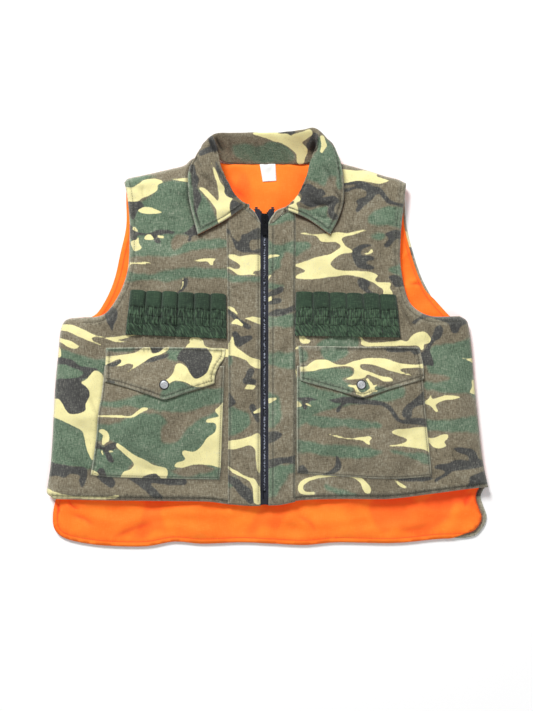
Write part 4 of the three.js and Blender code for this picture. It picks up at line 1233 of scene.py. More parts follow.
# Sharp creases in the fronts, most of them near the armholes.
CREASES = {
    "left": [
        ([(192, 68), (206, 38), (222, 10)], 1.7, 2.6),
        ([(204, 120), (190, 132), (178, 146)], 1.2, 2.4),
        ([(198, 108), (186, 120), (180, 128)], 1.0, 2.2),
        ([(236, 40), (262, 30), (288, 33)], 0.9, 2.2),
        ([(246, 26), (240, 0), (236, -30)], 0.9, 3.4),
        ([(118, 178), (132, 158), (150, 148)], 0.7, 5),
        ([(300, -212), (280, -180), (276, -150)], 0.7, 4),
        ([(160, -178), (200, -176)], 0.5, 2),
        ([(256, 14), (284, -6), (306, -10)], 0.6, 3.4),
    ],
    "right": [
        ([(-222, 52), (-219, 38), (-220, 24)], 0.9, 2.2),
        ([(-256, 16), (-246, 32), (-236, 46)], 1.0, 2.4),
        ([(-236, 14), (-228, 40), (-226, 60)], 1.0, 2.4),
        ([(-300, 26), (-282, 34), (-262, 38)], 0.8, 2.2),
        ([(-186, 236), (-190, 222), (-184, 210)], 0.7, 3),
        ([(-150, 226), (-124, 214), (-112, 196)], 0.8, 5),
        ([(-276, -70), (-258, -110), (-256, -150)], 0.8, 4),
        ([(-316, -150), (-300, -176), (-282, -186)], 0.7, 4),
        ([(-206, 132), (-196, 122), (-180, 118)], 0.6, 2.4),
    ],
}


def crease_lines(x, y, creases):
    """How deep sharp creases are and how dark their painted shade is. Each is its points, its depth and its
    half-width.
    """
    deep, dark = np.zeros(np.shape(x)), np.zeros(np.shape(x))
    for points, depth, width in creases:
        d, ends = tapered(x, y, points, 5, 0.35)
        deep += depth * ends * (fade(d, width) - 0.5 * fade(d - 2 * width, width))
        dark += 0.32 * depth * ends * fade(d, 0.6 * width)
    return deep, np.minimum(dark, 0.6)


def crease_paths(creases):
    """The creases' own lines, where the mesh needs finer rows."""
    return [spline(points, 5) for points, _, _ in creases]


def seam_paths(side):
    """The sewn lines on a front, along its hem and its armhole, which have the cloth on their left."""
    hem, armhole = (CUTS[side].path(kind)[0] for kind in ("hem", "armhole"))
    return {"hem": offset_path(hem, HEM_ROW), "armhole": offset_path(armhole, EDGE_ROW)}


def front_height(side):
    """The height of a front's outer face, as a function of x and y."""
    cut = CUTS[side]
    seams = seam_paths(side)
    sewn = list(seams.values())
    seed = 11 if side == "left" else 37
    wrinkles = slack_cloth(cut, sewn + FRONT_SEAMS[side], 6.5, 0.012, 2.0, seed + 8)

    def height(x, y):
        x, y = np.asarray(x, float), np.asarray(y, float)
        d = cut.edge(x, y)
        low, width = cut.mixed(x, y, SHELL_EDGE)
        slack = ease(d / 26)
        z = FRONT_TOP + 0.6 + slack * (1.1 * waves(x, y, 150, seed) + 0.55 * waves(x, y, 58, seed + 1))
        z = z + ease(d / 10) * 0.16 * waves(x, y, 21, seed + 2)
        z = z + slack * folds(x, y, FRONT_FOLDS[side]) + WRINKLING * wrinkles(x, y)
        z = z - crease_lines(x, y, CREASES[side])[0] + puckers(x, y, sewn, 6.5, 0.5, 9, seed + 5)
        for path in sewn:
            z = z - 1.0 * fade(near(x, y, path)[0], 1.8)
        z = np.maximum(z, FRONT_TOP - 2.2)  # never down into the lining
        return low + (z - low) * rolled(d, width)

    return height


HEIGHT = {side: front_height(side) for side in ("left", "right")}


def collar_edge(side):
    """The line of the leaf's outer edge and front edge, seen from above."""
    leaf = collar_grid(side)[CORNER * PER_STATION :, :, :2]
    return np.vstack([leaf[:, -1], leaf[-1, ::-1]])


def print_fields(obj, x, y, name, wear, crease):
    """Stores what the camouflage material reads."""
    keep(obj, wear=wear, crease=crease, **printed(x, y, name))


for side in ("left", "right"):
    cut = CUTS[side]
    seams = seam_paths(side)
    flat, faces = cut.fill([*seams.values(), *crease_paths(CREASES[side])])
    x, y = flat.T
    points = np.stack([x, y, HEIGHT[side](x, y)], 1)
    d = cut.edge(x, y)
    shell = new_mesh(f"front_{side}", points, faces, [CAMO])
    sewn_near = np.minimum.reduce([near(x, y, p)[0] for p in seams.values()])
    wear = 0.8 * fade(d, 2.6) + 0.3 * fade(sewn_near - 2.6, 1.4)
    hem_near = near(x, y, seams["hem"])[0]
    # Painted shade along the sewn rows and the hem, in the hem's puckers and in the creases.
    crease = 0.35 * fade(sewn_near, 1.3) + 0.75 * fade(hem_near, 1.8)
    crease += 0.4 * pucker_shade(x, y, [seams["hem"]], 4, 9, 515)
    # The shade under the collar's edge and round the pocket.
    crease += 0.9 * fade(near(x, y, collar_edge(side)[::3])[0], 3.2)
    crease += 0.55 * fade(near(x, y, Cut(POCKETS[side], 4).closed)[0], 2.6)
    crease += crease_lines(x, y, CREASES[side])[1]
    print_fields(shell, x, y, f"ground_{side}", wear, np.minimum(crease, 1.1))
    keep_place(shell, points)
    thicken(shell, CLOTH)
    bend(shell)
    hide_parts(f"front_shell_{side}", f"front_wadding_{side}", f"side_wrap_{side}",
                f"shoulder_seam_{side}")

    cut = cut.inset(2.0)
    flat, faces = cut.fill()
    x, y = flat.T
    d = cut.edge(x, y)
    low, width = cut.mixed(x, y, LINING_EDGE)
    under = FRONT_FOOT + 0.5 * waves(x, y, 90, 71) + 0.25 * waves(x, y, 34, 72)
    under = low + (under - low) * rolled(d, width)
    points = np.stack([x, y, under], 1)
    lining = new_mesh(f"front_lining_{side}_cloth", points, flipped(faces), [ORANGE])
    keep(lining, crease=0 * x, wear=0 * x)
    keep_place(lining, points)
    thicken(lining, LINING)
    bend(lining)
    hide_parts(f"front_lining_{side}")

    sewn = [laid(path, HEIGHT[side]) for path in seams.values()]
    rows = stitches(f"front_stitches_{side}", sewn, KHAKI)
    bend(rows)


# ---- the back ----
BACK_SHELL_EDGE = {
    "tail": (2.2, 9),
    "side": (8.0, 26),
    "armhole": (3.0, 9),
    "shoulder": (8.2, 18),
    "neck": (3.6, 6),
}
BACK_LINING_EDGE = {
    "tail": (3.2, 8),
    "side": (8.4, 22),
    "armhole": (4.0, 8),
    "shoulder": (8.6, 16),
    "neck": (5.2, 6),
}
# Ridges and creases in the back's lining, in the tail and beside the armholes.
BACK_FOLDS = [
    ([(-300, -262), (-220, -272), (-120, -258)], 2.6, 9),
    ([(-250, -290), (-160, -280), (-60, -292)], 1.8, 7),
    ([(-40, -256), (60, -276), (190, -262)], 2.4, 10),
    ([(80, -292), (180, -284), (270, -270)], 2.0, 7),
    ([(200, -250), (260, -262), (316, -250)], 2.2, 8),
    ([(-180, -250), (-90, -262), (0, -250)], 1.8, 8),
    ([(228, 100), (216, 84), (200, 82)], 1.6, 3),
    ([(216, 140), (206, 128), (196, 118)], 1.6, 3),
]
BACK_CREASES = [
    ([(-324, -240), (-318, -252), (-316, -266)], 1.2, 2.6),
    ([(-304, -238), (-296, -250), (-284, -256)], 1.0, 2.6),
    ([(-300, -262), (-276, -270), (-262, -282)], 0.8, 4),
    ([(310, -226), (300, -240), (296, -256)], 0.8, 3),
    ([(-240, -300), (-200, -282), (-170, -276)], 0.8, 6),
    ([(40, -262), (64, -276), (74, -294)], 0.6, 5),
    ([(218, 196), (222, 170), (232, 150)], 1.2, 2.4),
    ([(212, 190), (214, 160), (224, 130)], 0.8, 2.4),
    ([(206, 84), (224, 86), (240, 82)], 0.8, 2.4),
    ([(-64, 250), (-50, 228), (-30, 214)], 0.6, 5),
]
back = CUTS["back"]
# The back's sewn lines: the tail's, then one along each armhole.
BACK_LINES = [offset_path(path, EDGE_ROW) for path in back.path("tail") + back.path("armhole")]
BACK_WRINKLES = slack_cloth(back, BACK_LINES, 8, 0.012, 2.4, 61)


def back_height(x, y):
    """The height of the back's lining."""
    x, y = np.asarray(x, float), np.asarray(y, float)
    d = back.edge(x, y)
    low, width = back.mixed(x, y, BACK_LINING_EDGE)
    ripples = 0.9 * waves(x, y * 1.7, 95, 5) + 0.4 * waves(x, y, 38, 6)
    z = BACK_TOP + ease(d / 20) * ripples + folds(x, y, BACK_FOLDS)
    z = z + WRINKLING * BACK_WRINKLES(x, y) - 1.5 * crease_lines(x, y, BACK_CREASES)[0]
    z = np.maximum(z, BACK_TOP - 2.4)  # never down into the outer cloth
    tail_line = BACK_LINES[0]
    z = z + puckers(x, y, [tail_line], 6, 0.45, 10, 9) - 0.8 * fade(near(x, y, tail_line)[0], 1.8)
    return low + (z - low) * rolled(d, width)


def lining_inset(x, y):
    """The lining stops short of the outer cloth at one corner of the tail and round that armhole."""
    armhole = ease((x - 150) / 30) * ease((y - 60) / 20) * ease((230 - y) / 20)
    return 0.8 + 8.0 * ease((x - 270) / 40) * ease((-214 - y) / 14) + 3.4 * armhole


def outer_inset(x, y):
    """The outer cloth reaches further only where the lining stops short of it."""
    return 2.4 - 0.5 * (lining_inset(x, y) - 0.8).clip(0, 3.4)


flat, faces = back.inset(lining_inset).fill(BACK_LINES + crease_paths(BACK_CREASES))
x, y = flat.T
z = back_height(x, y)
points = np.stack([x, y, z], 1)
lining = new_mesh("back_lining_cloth", points, faces, [ORANGE])
lined = np.minimum.reduce([near(x, y, line)[0] for line in BACK_LINES])
# Painted shade along the sewn lines, in the creases and valleys, and under the fronts' hem.
hem_shade = 0.5 * ease((y + 262) / 26) * ease((-190 - y) / 34)
valley_shade = 0.4 * ease(-0.4 - 0.9 * BACK_WRINKLES(x, y)) + 0.12 * ease(0.2 - 0.5 * (z - BACK_TOP))
creased = crease_lines(x, y, BACK_CREASES)[1]
crease = 0.6 * fade(lined, 1.3) + 2.4 * creased + hem_shade + valley_shade
keep(lining, crease=np.minimum(crease, 1.1), wear=0 * x)
keep_place(lining, points)
thicken(lining, LINING)
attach(lining, "back")
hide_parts("back_lining", "back_wadding")

outer_cut = back.inset(outer_inset)
flat, faces = outer_cut.fill()
x, y = flat.T
d = outer_cut.edge(x, y)
low, width = outer_cut.mixed(x, y, BACK_SHELL_EDGE)
foot = low * (1 - rolled(d, width)) + ease(d / 30) * 0.35 * (1 + waves(x, y, 80, 15))
points = np.stack([x, y, np.maximum(foot, 0)], 1)
outer = new_mesh("back_outer", points, flipped(faces), [CAMO])
# Its print is made up: the same colours in blotches of about the same size.
spots = {
    "green": 14 * (0.35 - waves(x / 1.7, y, 95, 21)),
    "charcoal": 9 * (1.15 - waves(x / 1.8, y, 62, 22)),
    "cream": 9 * (1.3 - waves(x / 1.5, y, 70, 23)),
}
keep(outer, wear=fade(d, 3.0), crease=0 * x, **spots)
keep_place(outer, np.stack([x, y, 0 * x], 1))
thicken(outer, CLOTH)
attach(outer, "back")
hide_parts("back_shell")
rows = stitches("back_stitches", [laid(path, back_height) for path in BACK_LINES], RED)
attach(rows, "back")


# ---- flat pieces of cloth ----
def area_of(loop):
    """A loop's area in square metres."""
    return abs(signed_area(loop)) * MM**2


def declare(loop):
    """Works out the area of cloth cut to this outline; nothing keeps it."""
    float(area_of(loop))


def declare_grid(grid):
    """Works out the length, width and area of cloth made as a grid of points, measured along the cloth;
    nothing keeps them.
    """
    length, width = along(grid, 0)[-1].max() * MM, along(grid, 1)[:, -1].max() * MM
    one, two = grid[1:, 1:] - grid[:-1, :-1], grid[:-1, 1:] - grid[1:, :-1]
    area = np.linalg.norm(np.cross(one, two), axis=2).sum() / 2 * MM**2


def along(grid, axis):
    """Distance in mm along the grid's rows or columns."""
    steps = np.linalg.norm(np.diff(grid, axis=axis), axis=2)
    start = np.zeros((1, grid.shape[1]) if axis == 0 else (grid.shape[0], 1))
    return np.concatenate([start, np.cumsum(steps, axis)], axis)


def patch(name, cut, height, material, pattern=None, thickness=CLOTH, wear=1.0, creases=(), gathers=0.0):
    """A flat piece of cloth with this outline, laid at this height and sewn along its creases."""
    flat, faces = cut.fill(creases)
    x, y = flat.T
    points = np.column_stack([x, y, height(x, y)])
    obj = new_mesh(name, points, faces, [material])
    lines = [near(x, y, path)[0] for path in creases] or [np.full(x.shape, 99.0)]
    sewn = np.minimum.reduce(lines)
    worn = wear * fade(cut.edge(x, y), 1.5) + 0.3 * fade(sewn - 2.2, 1.2)
    # Painted shade along the sewn lines, and in the puckers' folds when `gathers` is set.
    crease = 0.7 * fade(sewn, 1.2)
    if gathers:
        crease = np.minimum(crease + gathers * pucker_shade(x, y, creases, 3.5, 4.6, 505), 0.9)
    keep(obj, wear=worn, crease=crease)
    if pattern:
        keep(obj, **printed(x, y, pattern))
    keep_place(obj, points)
    return thicken(obj, thickness)


# ---- the strips of cloth beside the zip ----
BAND = 5.8  # half the width of zip that shows between the strips
STRIPS = {
    "left": [
        ("zip", [(ZIP_X + BAND, 176), (ZIP_X + BAND, -247.5)]),
        ("hem", [(ZIP_X + BAND, -247.5), (20, -246.5), (40, -242)]),
        ("seam", [(40, -242), (40.5, -100), (40, 60), (41, 160), (40, 205)]),
        ("neck", [(40, 205), (24, 198), (11, 192), (4, 185), (ZIP_X + BAND, 176)]),
    ],
    "right": [
        ("neck", [(ZIP_X - BAND, 176), (-16, 185), (-24, 192), (-36, 198), (-52, 208), (-62, 218)]),
        ("seam", [(-62, 218), (-63, 160), (-61, 40), (-60, -80), (-61, -246)]),
        ("hem", [(-61, -246), (-30, -248), (ZIP_X - BAND, -248)]),
        ("zip", [(ZIP_X - BAND, -248), (ZIP_X - BAND, 176)]),
    ],
}


def strip_height(side, cut, sewn):
    """The strip lies on the front, and runs level over the tape where the front falls away."""
    sign = FOLD[side]["sign"]

    def height(x, y):
        x, y = np.asarray(x, float), np.asarray(y, float)
        clear = np.maximum((x - ZIP_X) * sign, BAND + 6) * sign + ZIP_X
        z = HEIGHT[side](clear, y) + 0.35 + 1.15 * rolled(cut.edge(x, y), 1.8)
        z = z + puckers(x, y, sewn, 3.5, 0.3, 7, 91) + 0.15 * waves(x, y, 16, 92)
        for path in sewn:
            z = z - 0.45 * fade(near(x, y, path)[0], 1.3)
        return z

    return height


for side in ("left", "right"):
    cut = Cut(STRIPS[side], 2.3)
    # Sewn down near the zip and again at the outer seam.
    inset = 6.8 if side == "left" else 3.6
    sewn = [offset_path(cut.path("zip")[0][3:-3], inset), offset_path(cut.path("seam")[0][3:-3], 2.4)]
    height = strip_height(side, cut, sewn)
    strip = patch(f"zip_strip_{side}", cut, height, CAMO, f"strip_{side}", wear=0.5, creases=sewn)
    bend(strip)
    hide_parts(f"placket_{side}")
    declare(cut.loop)
    rows = stitches(f"zip_strip_stitches_{side}", [laid(path, height) for path in sewn], KHAKI, 0.85)
    bend(rows)


# ---- the zip ----
TAPE_TOP = box_mm("zip_tape_left")[2][1]
CHAIN_TOP = 182  # above this the chain parts and spreads to the neckline
for side in ("left", "right"):
    sign = FOLD[side]["sign"]
    # Across the tape: the woven cord that the teeth grip, then the flat web.
    profile = [(-0.6, -2.75 + 0.15 * sign), (3.0, -2.4), (3.3, -0.7), (3.4, 0.25), (3.9, 0.45),
               (4.5, 0.3), (4.9, 0.0), (6.0, 0.05), (8, 0.0), (12, 0.0)]
    rows = []
    for y in np.arange(-246.5, 197.6, 2.0):
        rise = max(0.0, y - CHAIN_TOP) / 15
        spread = rise**1.4 * 8
        width = 12 - 4.3 * ease(rise * 1.8 - 0.7)
        ribs = 0.06 * math.sin(y * 3.1)
        rows.append([(ZIP_X + sign * (min(across, width) + spread + 0.001 * i), y, TAPE_TOP + up + ribs)
                     for i, (across, up) in enumerate(profile)])
    faces = grid_faces(rows)
    points = np.array(rows).reshape(-1, 3)
    if side == "left":
        faces = flipped(faces)
    tape = new_mesh(f"zip_tape_{side}_cloth", points, faces, [TAPE])
    keep(tape, crease=0 * points[:, 0], wear=0 * points[:, 0])
    keep_place(tape, points)
    thicken(tape, 0.7)
    bend(tape)
    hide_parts(f"zip_tape_{side}")
    declare_grid(np.array(rows))

for node, finish in (
    ("zip_teeth_left", TEETH), ("zip_teeth_right", TEETH), ("zip_top_stop_left", MOULDED),
    ("zip_top_stop_right", MOULDED), ("zip_pin", MOULDED), ("zip_box", MOULDED), ("zip_slider", BLACK),
    ("zip_pull", BLACK),
):
    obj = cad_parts[node]
    obj.data.materials.clear()
    obj.data.materials.append(finish)
    bevel = obj.modifiers.new("soft edges", "BEVEL")
    bevel.width = 0.22 * MM
    bevel.segments = 2
    bevel.limit_method = "ANGLE"


# ---- the cartridge holders ----
# Corners: top outer, top inner, bottom inner, bottom outer, seen from the front.
HOLDERS = {
    "left": [(190.5, 66.5), (41.5, 71.5), (40, 7), (197, 4.5)],
    "right": [(-207, 73.5), (-63, 67), (-62.5, 2.5), (-214, 9)],
}
LOOPS = 6
# How high each loop stands off its base, from the top of the holder to its foot.
LOOP_RISE = [(0.0, 6.4), (0.3, 6.6), (0.42, 5.0), (0.6, 5.2), (0.72, 3.8), (0.9, 3.6), (1.0, 2.2)]
ACROSS = 38  # points across each loop
SHIRRS = (0.36, 0.56, 0.74)  # rows of elastic, as shares of the holder's height

for side in ("left", "right"):
    corners = np.array(HOLDERS[side], float)
    across = np.linspace(0, 1, LOOPS * ACROSS + 1)
    down = np.linspace(0, 1, 75)
    u, v = np.meshgrid(across, down)
    top = corners[0] + (corners[1] - corners[0]) * u[..., None]
    foot = corners[3] + (corners[2] - corners[3]) * u[..., None]
    x, y = np.moveaxis(top + (foot - top) * v[..., None], -1, 0)
    seed = 200 if side == "left" else 260
    # Each loop is an arch from one of its sides to the other.
    t = u * LOOPS % 1.0
    t[:, -1] = 1.0
    arch = (1 - np.abs(2 * t - 1) ** 3.2) ** 0.6
    loop_no = np.minimum((u * LOOPS).astype(int), LOOPS - 1)
    uneven = 1 + 0.13 * np.sin(loop_no * 2.4 + seed)
    rise = np.interp(v, *zip(*LOOP_RISE)) * uneven
    gathered = ease((v - 0.3) / 0.08)  # the rows of elastic start below the first third
    slant = x + 0.45 * (y - 30) * ease((v - 0.7) / 0.1)
    crinkle = waves(slant, y * 0.14, 3.6, seed, 30) + 0.7 * waves(slant, y * 0.22, 2.3, seed + 1, 30)
    scallop = 2.3 * arch * uneven * (1 - v) ** 3
    z = HEIGHT[side](x, y) + 1.7 + rise * arch + 0.6 * gathered * crinkle * ease(arch * 2.2)
    pinch = sum(fade(v - row + 0.012 * np.sin(u * 37), 0.016) for row in SHIRRS)
    z = z - 1.1 * pinch * arch
    points = np.column_stack([x.ravel(), (y + scallop).ravel(), z.ravel()])
    faces = grid_faces(np.zeros(u.shape))
    band = new_mesh(f"holder_{side}", points, flipped(faces), [ELASTIC])
    # Painted shade between the loops, at the rows of elastic and in the gathers' hollows. Painted highlight
    # on the gathers' crests.
    crease = 0.4 * fade(arch, 0.35) + 0.3 * pinch + 0.5 * gathered * ease(-crinkle)
    wear = 0.9 * gathered * ease(crinkle - 0.4)
    keep(band, crease=np.clip(crease, 0, 1.1).ravel(), wear=wear.ravel())
    keep_place(band, points)
    thicken(band, 0.9)
    bend(band)
    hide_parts(f"holder_band_{side}")
    declare_grid(points.reshape(*u.shape, 3))

    # The base ends a little inside the band.
    ring = [tuple(p) for p in corners + np.sign(corners.mean(0) - corners) * 1.5]
    base_cut = straight_cut(ring, 3.0)
    if signed_area(base_cut.loop) < 0:
        base_cut = straight_cut(ring[::-1], 3.0)
    base = patch(f"holder_base_{side}_cloth", base_cut, lambda x, y: HEIGHT[side](x, y) + 1.25,
                 ELASTIC, None, 0.9)
    bend(base)
    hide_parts(f"holder_base_{side}")
    declare(base_cut.loop)

    # Stitched along the foot, between the loops, and down both ends.
    hem_u = np.linspace(0.01, 0.99, 120)
    hem = [np.interp(hem_u, across, row) for row in (x[-4], y[-4], z[-4])]
    sewn = [np.column_stack(hem) + [0, 0, 0.1]]
    lower = down > 0.62
    for column in range(ACROSS, LOOPS * ACROSS, ACROSS):
        sewn.append(np.column_stack([x[lower, column], y[lower, column], z[lower, column] + 0.5]))
    for column in (3, -4):
        sewn.append(np.column_stack([x[2:, column], y[2:, column], z[2:, column]]))
    rows = stitches(f"holder_stitches_{side}", sewn, GREEN_THREAD, 0.8)
    bend(rows)


# ---- the pockets and their flaps ----
FLAPS = {
    "left": [
        ("seam", [(226.5, -10.5), (180, -9.5), (120, -9), (44.5, -8)]),
        ("side", [(44.5, -8), (46, -30), (47.5, -58.5)]),
        ("point", [(47.5, -58.5), (52, -61.5), (90, -71.5), (128, -82.5), (139, -84.8), (150, -82.5),
                   (190, -70), (228, -59), (232.5, -57)]),
        ("side", [(232.5, -57), (231, -36), (226.5, -10.5)]),
    ],
    "right": [
        ("seam", [(-64, -12.5), (-120, -10.5), (-180, -10), (-243.5, -11)]),
        ("side", [(-243.5, -11), (-244.5, -36), (-244.5, -62)]),
        ("point", [(-244.5, -62), (-225, -66.5), (-190, -77), (-164, -86), (-155, -88), (-146, -86),
                   (-120, -77), (-84, -65.5), (-80.5, -62)]),
        ("side", [(-80.5, -62), (-79, -50), (-73.5, -37), (-66, -26), (-64, -12.5)]),
    ],
}
STUD = {side: [sum(axis) / 2 for axis in box_mm(f"snap_cap_{side}")[:2]] for side in ("left", "right")}
CAP_FOOT = box_mm("snap_cap_left")[2][0]
POCKET_RISE = 5.6


def pocket_height(side, cut):
    """The pocket's height, fullest in the middle, and its sewn rows: every edge but the mouth."""
    edges = [part for kind, part in cut.parts if kind != "mouth"]
    rows = [offset_path(part, 3.0) for part in edges]
    seed = 301 if side == "left" else 341

    def height(x, y):
        x, y = np.asarray(x, float), np.asarray(y, float)
        d = np.minimum.reduce([near(x, y, part)[0] for part in edges])
        fullness = POCKET_RISE * ease(np.maximum(d - 3, 0) / 52) * (0.65 + 0.35 * ease((-36 - y) / 36))
        z = HEIGHT[side](x, y) + 0.4 + 1.2 * rolled(d, 1.8) + fullness
        z = z + ease(d / 16) * (0.6 * waves(x, y, 62, seed) + 0.16 * waves(x, y, 20, seed + 1))
        z = z + puckers(x, y, rows, 4, 0.28, 8, seed + 3)
        for row in rows:
            z = z - 0.4 * fade(near(x, y, row)[0], 1.3)
        return z

    return height, rows


def flap_height(side, cut, pocket):
    """The flap's height, from its seam on the front down over the pocket, and its sewn rows."""
    seam, point = cut.path("seam")[0], cut.path("point")[0]
    sides = cut.path("side")
    row = offset_path(np.vstack([sides[0][:-1], point[:-1], sides[1]]), 5.5)[2:-2]
    top = offset_path(seam[2:-2], 3.0)
    stud_x, stud_y = STUD[side]
    seed = 381 if side == "left" else 397

    def height(x, y):
        x, y = np.asarray(x, float), np.asarray(y, float)
        d = cut.edge(x, y)
        drop = ease((-12 - y) / 34)
        below = pocket(x, np.minimum(y, -40))
        root = HEIGHT[side](x, y)
        z = root + (below - root) * drop + 1.5 + 1.9 * drop
        # Drawn to the press stud, so that the cap sits on it.
        z = z + (CAP_FOOT + 0.7 - STUD_TOP[side]) * fade(np.hypot(x - stud_x, y - stud_y), 24)
        z = z + ease(d / 14) * (0.55 * waves(x, y, 44, seed) + 0.2 * waves(x, y, 17, seed + 1))
        z = z - 0.9 * (1 - rolled(d, 1.8))
        z = z + puckers(x, y, [row], 4, 0.5, 6, seed + 2) + puckers(x, y, [top], 5, 0.4, 5.5, seed + 3)
        for path in (row, top):
            z = z - 0.7 * fade(near(x, y, path)[0], 1.4)
        return z

    return height, [row, top]


STUD_TOP = {}  # the flap's height at its stud, before it is drawn to it
for side in ("left", "right"):
    cut = Cut(POCKETS[side], 2.4)
    height, sewn = pocket_height(side, cut)
    pocket = patch(f"pocket_{side}_cloth", cut, height, CAMO, f"pocket_{side}", creases=sewn)
    bend(pocket)
    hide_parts(f"pocket_{side}")
    declare(cut.loop)
    sewn = [laid(path[2:-2], height) for path in sewn]
    rows = stitches(f"pocket_stitches_{side}", sewn, KHAKI, 0.9)
    bend(rows)

    STUD_TOP[side] = float(height(*np.array(STUD[side])[:, None])[0]) + 2.6
    cut = Cut(FLAPS[side], 2.2)
    flap_top, sewn = flap_height(side, cut, height)
    flap = patch(f"flap_{side}_cloth", cut, flap_top, CAMO, f"flap_{side}", creases=sewn, gathers=0.6)
    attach(flap, f"flap_{side}")
    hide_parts(f"flap_{side}")
    declare(cut.loop)
    facing = patch(f"flap_facing_{side}_cloth", cut, lambda x, y: flap_top(x, y) - 1.35,
                   CAMO, f"flap_{side}", 0.7)
    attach(facing, f"flap_{side}")
    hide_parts(f"flap_facing_{side}")
    declare(cut.loop)
    rows = stitches(f"flap_stitches_{side}", [laid(path, flap_top) for path in sewn], KHAKI, 0.9)
    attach(rows, f"flap_{side}")

    for part in ("snap_cap", "snap_socket", "snap_stud", "snap_post"):
        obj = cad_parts[f"{part}_{side}"]
        obj.data.materials.clear()
        obj.data.materials.append(snap_metal(*STUD[side]))
        for polygon in obj.data.polygons:
            polygon.use_smooth = False


# ---- the collar ----
def grid_normals(grid, sign):
    """Unit vectors square to the cloth."""
    du, dv = np.gradient(grid, axis=0), np.gradient(grid, axis=1)
    normal = np.cross(dv, du) * sign
    return normal / np.maximum(np.linalg.norm(normal, axis=2, keepdims=True), 1e-9)


def shaped_collar(side, sink, edge_drop, seed):
    """The collar's grid with its turned edges, its topstitch groove and its creases."""
    sign = FOLD[side]["sign"]
    grid = collar_grid(side)
    normal = grid_normals(grid, -sign)
    to_edge = along(grid, 1)[:, -1:] - along(grid, 1)
    to_front = along(grid, 0)[-1:] - along(grid, 0)
    d = np.minimum(to_edge, to_front)
    x, y, z = grid[..., 0], grid[..., 1], grid[..., 2]
    move = 0.9 * waves(x + z, y, 52, seed) * ease(d / 18)
    move += 0.4 * waves(x + z, y - z, 22, seed + 1) * ease(d / 10)
    move += 0.6 * fade(d - TOPSTITCH, 3) * waves(x, y, 6, seed + 2)
    move -= 0.8 * fade(d - TOPSTITCH, 1.3) + edge_drop * (1 - rolled(d, 2.6)) + sink
    move -= 0.8 * crease_lines(x, y, COLLAR_CREASES[side])[0]
    return grid + normal * move[..., None], d


def inset_path(grid, distance):
    """A path on the grid at this distance in from the outer edge, then along the front edge."""
    run, down = along(grid, 1), along(grid, 0)

    def before_end(line, steps):
        return [np.interp(steps[-1] - distance, steps, line[:, k]) for k in range(3)]

    outer = [before_end(grid[i], run[i]) for i in range(len(grid))
             if down[i, -1] < down[-1, -1] - distance]
    front = [before_end(grid[:, j], down[:, j]) for j in range(grid.shape[1])
             if run[-1, j] < run[-1, -1] - distance]
    return np.array(outer + front[::-1])


def collar_piece(name, grid, distance, flip, finish, thickness):
    """One layer of the collar between two of its stations."""
    points = grid.reshape(-1, 3)
    faces = grid_faces(grid)
    obj = new_mesh(name, points, flipped(faces) if flip else faces, [finish])
    x, y, _ = points.T
    d = distance.ravel()
    wear = fade(d, 2.0) + 0.3 * fade(d - 8, 1.4)
    creased = crease_lines(x, y, COLLAR_CREASES["left"] + COLLAR_CREASES["right"])[1]
    # Painted shade along the topstitch groove and in the creases.
    crease = fade(d - TOPSTITCH, 1.1) + 1.7 * creased
    print_fields(obj, x, y, "collar", wear, np.minimum(crease, 1.1))
    keep_place(obj, points)
    return thicken(obj, thickness)


cut_row = CORNER * PER_STATION
for layer, sink, drop, finish, slot in (
    ("upper", 0.0, 1.3, CAMO, "camouflage_cloth"),
    ("under", 1.9, 0.6, ORANGE, "orange_cloth"),
):
    shaped = {side: shaped_collar(side, sink, drop, 411) for side in ("left", "right")}
    thickness = CLOTH if layer == "upper" else LINING
    first = 0 if layer == "upper" else 2 * PER_SPAN + 3  # the under cloth lines the leaf, not the stand
    shaped = {side: (grid[:, first:], distance[:, first:]) for side, (grid, distance) in shaped.items()}
    for side in ("left", "right"):
        grid, distance = (part[cut_row:] for part in shaped[side])
        leaf = collar_piece(f"collar_{layer}_{side}", grid, distance, side == "left", finish, thickness)
        bend(leaf)
        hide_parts(f"collar_leaf_{layer}_{side}")
        declare_grid(grid)
    # The back band runs from the right corner to the middle, which both halves share, and on to the left.
    halves = [[part[: cut_row + 1] for part in shaped[side]] for side in ("right", "left")]
    joined = [np.concatenate([right[:0:-1], left]) for right, left in zip(*halves)]
    band = collar_piece(f"collar_{layer}_back", *joined, True, finish, thickness)
    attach(band, "back")
    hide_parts(f"collar_back_{layer}")
    declare_grid(joined[0])
    if layer == "upper":
        for side in ("left", "right"):
            row = inset_path(shaped[side][0][cut_row:], TOPSTITCH)
            rows = stitches(f"collar_stitches_{side}", [row], KHAKI, 0.9)
            bend(rows)


# Beside the zip the stand lies open, its inner face up.
STAND_ENDS = {
    "left": [
        ("neck", [(40, 211), (30, 202), (20, 198), (11.5, 194), (6.5, 187), (1.5, 179), (0.5, 173)]),
        ("foot", [(0.5, 173), (8, 177), (20, 187), (34, 195), (46, 204)]),
        ("end", [(46, 204), (40, 211)]),
    ],
    "right": [
        ("end", [(-46, 214), (-53, 207)]),
        ("foot", [(-53, 207), (-42, 199), (-29, 191), (-19, 181), (-13, 173)]),
        ("neck", [(-13, 173), (-14, 180), (-18, 188), (-23, 195), (-31, 201), (-46, 214)]),
    ],
}
for side in ("left", "right"):
    cut = Cut(STAND_ENDS[side], 2.0)
    if signed_area(cut.loop) < 0:
        cut = Cut([(kind, points[::-1]) for kind, points in reversed(STAND_ENDS[side])], 2.0)

    def end_height(x, y):
        return FRONT_TOP + 2.6 + 1.4 * rolled(cut.edge(x, y), 3.5) + 0.25 * waves(x, y, 14, 471)

    sewn = [offset_path(path, 2.5) for path in cut.path("neck")]
    end = patch(f"collar_end_{side}", cut, end_height, CAMO, "collar", creases=sewn)
    bend(end)
    # Laid flat it is a strip 10 mm wide.
    float(area_of(cut.loop) / 0.009)


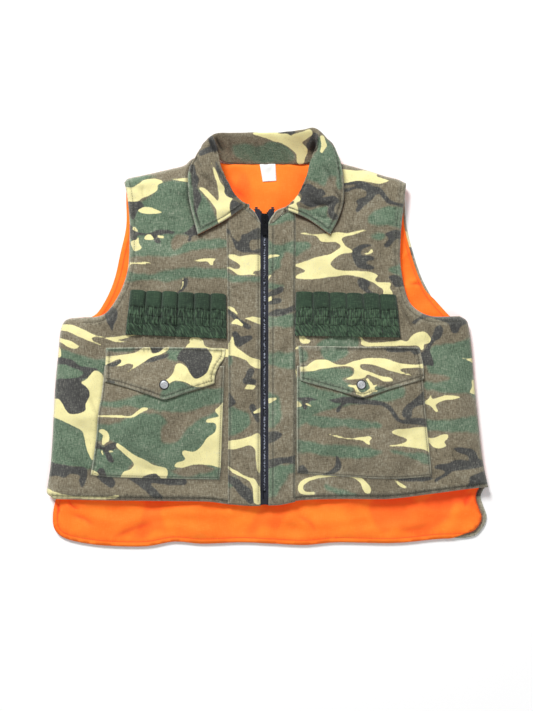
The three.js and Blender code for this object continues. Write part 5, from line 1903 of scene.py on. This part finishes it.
# ---- the neck label ----
LABEL_CORNERS = [(-8.6, 239.8), (11.8, 241.2), (10.4, 267.2), (-13.2, 266.6)]
cut = straight_cut(LABEL_CORNERS, 1.6)


def label_height(x, y):
    """The label lies on the back's lining and curls up a little at its foot."""
    curl = 0.8 * ease((246 - y) / 8)
    return back_height(x, y) + 0.7 + curl + 0.25 * waves(x, y, 17, 501)


label = patch("neck_label_cloth", cut, label_height, LABEL, None, 0.5)
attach(label, "back")
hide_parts("neck_label")
declare(cut.loop)
top_row = offset_path(cut.parts[2][1], 1.8)[1:-1]
rows = stitches("label_stitches", [laid(top_row, label_height)], WHITE, 0.7)
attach(rows, "back")


# ---- camera, light and floor ----
def look():
    """A camera straight above, white light all round, and two lamps, the brighter beyond the collar."""
    scene = bpy.context.scene
    scene.view_settings.view_transform = "Standard"
    camera = bpy.data.objects.new("camera", bpy.data.cameras.new("camera"))
    scene.collection.objects.link(camera)
    scene.camera = camera
    height = 1.6
    frame_width = 0.7995  # what the camera takes in, level with the front
    camera.location = (-0.003, -0.0225, height)
    camera.data.sensor_fit = "HORIZONTAL"
    camera.data.sensor_width = 36
    camera.data.lens = 36 * (height - 0.018) / frame_width
    world = bpy.data.worlds.new("studio")
    scene.world = world
    world.use_nodes = True
    world.node_tree.nodes["Background"].inputs["Color"].default_value = (1, 1, 1, 1)
    world.node_tree.nodes["Background"].inputs["Strength"].default_value = 0.34
    for name, place, size, watts in (
        ("key", (-1.4, 3.1, 2.9), 1.2, 216),
        ("fill", (1.4, -1.8, 2.4), 2.0, 18),
    ):
        light = bpy.data.objects.new(name, bpy.data.lights.new(name, "AREA"))
        light.data.size = size
        light.data.energy = watts
        light.location = place
        light.rotation_euler = (Vector((0, 0, 0)) - Vector(place)).to_track_quat("-Z", "Y").to_euler()
        scene.collection.objects.link(light)
    white = material("floor", 0.9)
    white.node_tree.nodes["Principled BSDF"].inputs["Base Color"].default_value = (1, 1, 1, 1)
    corners = [(x, y, -0.3) for x, y in ((-4000, -4000), (4000, -4000), (4000, 4000), (-4000, 4000))]
    floor = new_mesh("floor", corners, [(0, 1, 2, 3)], [white], False)


look()
